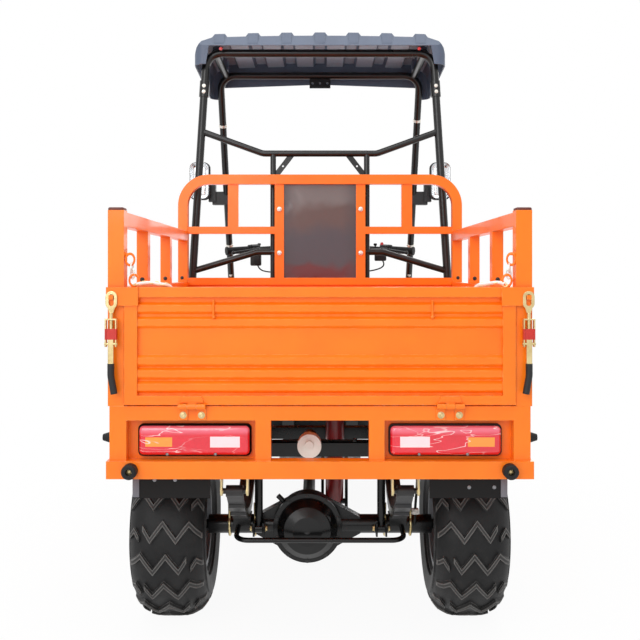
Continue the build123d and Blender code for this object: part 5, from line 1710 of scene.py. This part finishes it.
@dataclass
class BarTrim(Trim):
    """Switch boxes, knobs and cables on the handlebar."""

    body: str = "steering"
    cable: float = 0.0032

    def cord(self, name: str, route: Sequence[Point]) -> None:
        """Run one control cable from a switch box into the stem.

        Args:
            name: The cable's name.
            route: The points of its route.
        """
        piece = Bench.path(name, route, self.cable)
        length = Bench.run_length(Bench.centreline(piece))
        self.fit(piece, "black_rubber", "black_rubber")

    def build(self) -> None:
        """Build the boxes, knobs and cables."""
        self.cord("control_cable_left", (
            (-0.300, 0.354, 1.130), (-0.292, 0.356, 1.108), (-0.255, 0.366, 1.096), (-0.190, 0.395, 1.094),
            (-0.100, 0.440, 1.080), (-0.012, 0.500, 1.062),
        ))
        self.cord("control_cable_right", (
            (0.300, 0.352, 1.152), (0.312, 0.352, 1.134), (0.292, 0.360, 1.112), (0.228, 0.384, 1.098),
            (0.110, 0.436, 1.084), (0.012, 0.497, 1.070),
        ))
        boxes = (
            ("switch_box_left", (-0.334, 0.336, 1.126), (-0.282, 0.372, 1.196)),
            ("switch_box_right", (0.262, 0.334, 1.149), (0.318, 0.370, 1.196)),
        )
        for name, low, high in boxes:
            self.fit(Bench.block(name, low, high, 0.006), "black_plastic", "black_plastic")
        knob = ((0.0035, -0.016), (0.0035, 0.0), (0.0075, 0.002), (0.0085, 0.008), (0.006, 0.012))
        for name, place in (("knob_left", (-0.292, 0.350, 1.222)), ("knob_right", (0.266, 0.360, 1.222))):
            self.fit(Bench.turned(name, knob, place, Facing.UP, 20), "black_rubber", "black_rubber")
        stop = ((0.010, -0.012), (0.010, 0.002), (0.008, 0.004), (0.007, 0.010), (0.005, 0.012))
        button = Bench.turned("stop_button", stop, (0.297, 0.345, 1.226), Facing.UP, 20)
        self.fit(button, "red_plastic", "red_paint")


@dataclass
class SeatPads(Trim):
    """The blown-up seat cushion and backrest with their sewn channels."""

    shrink: float = 0.012
    lift: float = 0.001
    corner: float = 0.028
    voxel: float = 0.006
    swell: float = 0.011
    pressure: float = 4
    frames: int = 20
    channel: float = 0.007

    def pad(self, name: str, node: str) -> bpy.types.Object:
        """Blow up one pad from a block a little smaller than its solid.

        Args:
            name: The pad's name.
            node: The CAD solid that it stands for.

        Returns:
            The pad.
        """
        low, high = (Vector(c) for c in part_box(node))
        inset = Vector((self.shrink,) * 3)
        first, last = low + inset, high - inset
        first.z = low.z + self.lift
        piece = Bench.block(name, tuple(first), tuple(last), self.corner)
        Bench.focus(piece)
        mesher = piece.modifiers.new("mesher", "REMESH")
        mesher.mode = "VOXEL"
        mesher.voxel_size = self.voxel
        bpy.ops.object.modifier_apply(modifier="mesher")
        self.inflate(piece)
        for vertex in piece.data.vertices:
            for axis in range(3):
                vertex.co[axis] = min(max(vertex.co[axis], low[axis]), high[axis])
        return piece

    def inflate(self, piece: bpy.types.Object) -> None:
        """Swell a pad with cloth under pressure, and cap how far it moves.

        Args:
            piece: The remeshed pad.
        """
        rest = [vertex.co.copy() for vertex in piece.data.vertices]
        cloth = piece.modifiers.new("swell", "CLOTH")
        cloth.settings.use_pressure = True
        cloth.settings.uniform_pressure_force = self.pressure
        cloth.settings.effector_weights.gravity = 0
        for frame in range(1, self.frames + 1):
            bpy.context.scene.frame_set(frame)
        bpy.ops.object.modifier_apply(modifier="swell")
        bpy.context.scene.frame_set(1)
        for vertex, start in zip(piece.data.vertices, rest):
            move = vertex.co - start
            if move.length > self.swell:
                vertex.co = start + move.normalized() * self.swell

    def channels(self, piece: bpy.types.Object, axis: int, lines: Sequence[float], face: int) -> None:
        """Press sewn channels into a pad.

        Args:
            piece: The pad.
            axis: The axis that the channels' places are along.
            lines: Where each channel is.
            face: The axis that the pressed side looks along.
        """
        middle = sum(vertex.co[face] for vertex in piece.data.vertices) / len(piece.data.vertices)
        for vertex in piece.data.vertices:
            near = min(abs(vertex.co[axis] - line) for line in lines)
            if vertex.co[face] > middle:
                vertex.co[face] -= self.channel * math.exp(-((near / self.channel) ** 2))

    def build(self) -> None:
        """Build both pads."""
        seat = self.pad("seat_pad", "seat_cushion")
        self.channels(seat, 0, (-0.14, 0.0, 0.14), 2)
        back = self.pad("back_pad", "seat_backrest")
        self.channels(back, 0, (-0.13, 0.0, 0.13), 1)
        for piece, node in ((seat, "seat_cushion"), (back, "seat_backrest")):
            smoother = piece.modifiers.new("smoother", "SUBSURF")
            smoother.levels = 1
            smoother.render_levels = 1
            Bench.focus(piece)
            bpy.ops.object.modifier_apply(modifier="smoother")
            self.fit(piece, "seat_cover", "seat_cover")
            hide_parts(node)


@dataclass
class GateChains(Trim):
    """Hook rings on the posts and sleeved chains on the tailgate."""

    sleeve: float = 0.0055
    link_pitch: float = 0.0145
    row_y: float = -1.475
    eye_x: float = 0.547
    eye_z: float = 1.146

    def ring(self, name: str, place: Point, turn: float, body: str) -> None:
        """Bend one painted ring.

        Args:
            name: The ring's name.
            place: The middle of the ring.
            turn: How far it is turned about its upright, in degrees.
            body: The body that it rides on.
        """
        stand = Matrix.Rotation(math.radians(turn), 4, "Z") @ Matrix.Rotation(math.radians(90), 4, "X")
        turned = Matrix.Translation(place) @ stand
        ring = Bench.torus(name, (0.0145, 0.0034), (36, 10), (0.85, 1.1, 1), turned)
        self.fit(ring, "orange_paint", "orange_paint", body)

    def eye(self, side: str, sign: int) -> None:
        """Turn the stud that holds a ring on its post.

        Args:
            side: Left or right.
            sign: Which way along X that side is.
        """
        outline = ((0.007, 0), (0.007, 0.003), (0.0035, 0.005), (0.003, 0.014))
        facing = Facing.RIGHT if sign < 0 else Facing.LEFT
        place = (sign * self.eye_x, self.row_y, self.eye_z)
        stud = Bench.turned(f"ring_eye_{side}", outline, place, facing, 16)
        self.fit(stud, "orange_paint", "orange_paint", "bed")

    def hook(self, side: str, x: float) -> None:
        """Hang the two hook links under a post's ring.

        Args:
            side: Left or right.
            x: Where the upper link hangs.
        """
        upright = Matrix.Rotation(math.radians(90), 4, "X")
        link = Bench.torus("hook_link", (0.0085, 0.0022), (20, 8), (0.75, 1.5, 1), upright)
        inward = x + math.copysign(0.002, -x)
        moves = [
            Matrix.Translation((spot, self.row_y, z)) @ Matrix.Rotation(math.radians(turn), 4, "Z")
            for spot, z, turn in ((x, 1.108, 70), (inward, 1.091, -15))
        ]
        self.fit(self.spread(f"hook_links_{side}", link, moves), "white_zinc", "zinc", "bed")

    def chain(self, name: str, route: Sequence[Point]) -> None:
        """Lay one chain in its sleeve along a route.

        Args:
            name: The chain's name.
            route: The points of the route, from the ring to the end.
        """
        sleeve = Bench.path(name, route, self.sleeve)
        line = Bench.centreline(sleeve)
        length = Bench.run_length(line)
        self.fit(sleeve, "clear_sleeve", "zinc", "tailgate")
        link = Bench.torus("link", (0.0062, 0.0017), (18, 8), (1.45, 0.9, 1), Matrix.Identity(4))
        moves = []
        count = max(2, int(length / self.link_pitch))
        last = len(line) - 1
        for n in range(count):
            step = int(n * last / (count - 1))
            run = line[min(last, step + 1)] - line[max(0, step - 1)]
            turn = Vector((1, 0, 0)).rotation_difference(run).to_matrix().to_4x4()
            roll = Matrix.Rotation(math.radians(90 * (n % 2) + 20), 4, "X")
            moves.append(Matrix.Translation(line[step]) @ turn @ roll)
        links = self.spread(f"{name}_links", link, moves)
        self.fit(links, "zinc", "zinc", "tailgate")

    def build(self) -> None:
        """Build the rings and the chains."""
        self.ring("post_ring_left", (-0.532, -1.475, 1.131), 25, "bed")
        self.ring("gate_ring_left", (-0.521, -1.476, 1.0725), 10, "tailgate")
        self.ring("post_ring_right", (0.536, -1.475, 1.132), -25, "bed")
        self.ring("gate_ring_right", (0.524, -1.476, 1.0725), -10, "tailgate")
        self.eye("left", -1)
        self.eye("right", 1)
        self.hook("left", -0.527)
        self.hook("right", 0.5305)
        self.chain("gate_chain_left", (
            (-0.514, -1.476, 1.0615), (-0.497, -1.473, 1.0655), (-0.468, -1.468, 1.066),
            (-0.446, -1.472, 1.061), (-0.428, -1.464, 1.0605), (-0.421, -1.454, 1.052),
        ))
        self.chain("gate_chain_right", (
            (0.516, -1.476, 1.0615), (0.503, -1.470, 1.068), (0.480, -1.466, 1.064), (0.462, -1.471, 1.061),
            (0.446, -1.463, 1.0605), (0.440, -1.454, 1.052),
        ))


TRIMS = (
    GateChains, BarTrim, AxleTrim, TailLamps, GateTrim, CageTrim, Tyres, MirrorTrim, FrontTrim, SeatPads,
)


def main() -> None:
    """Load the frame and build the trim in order."""
    logging.basicConfig(level=logging.INFO, format="%(name)s: %(message)s")
    for thing in list(bpy.data.objects):
        bpy.data.objects.remove(thing)
    bpy.context.scene.view_settings.view_transform = "Standard"
    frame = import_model()
    shop = Paintshop()
    for finish in COATS:
        shop.coat(finish)
    for finish in ZONED_COATS:
        shop.zoned(finish)
    shop.reflection_panel("gloss_panel")
    shop.rings("headlamp_lens", LAMP_MIDDLE, LAMP_RINGS)
    Studio(shop).build()
    Dressing(frame, shop).apply()
    for trim in TRIMS:
        trim(shop).build()


if __name__ == "__main__":
    main()
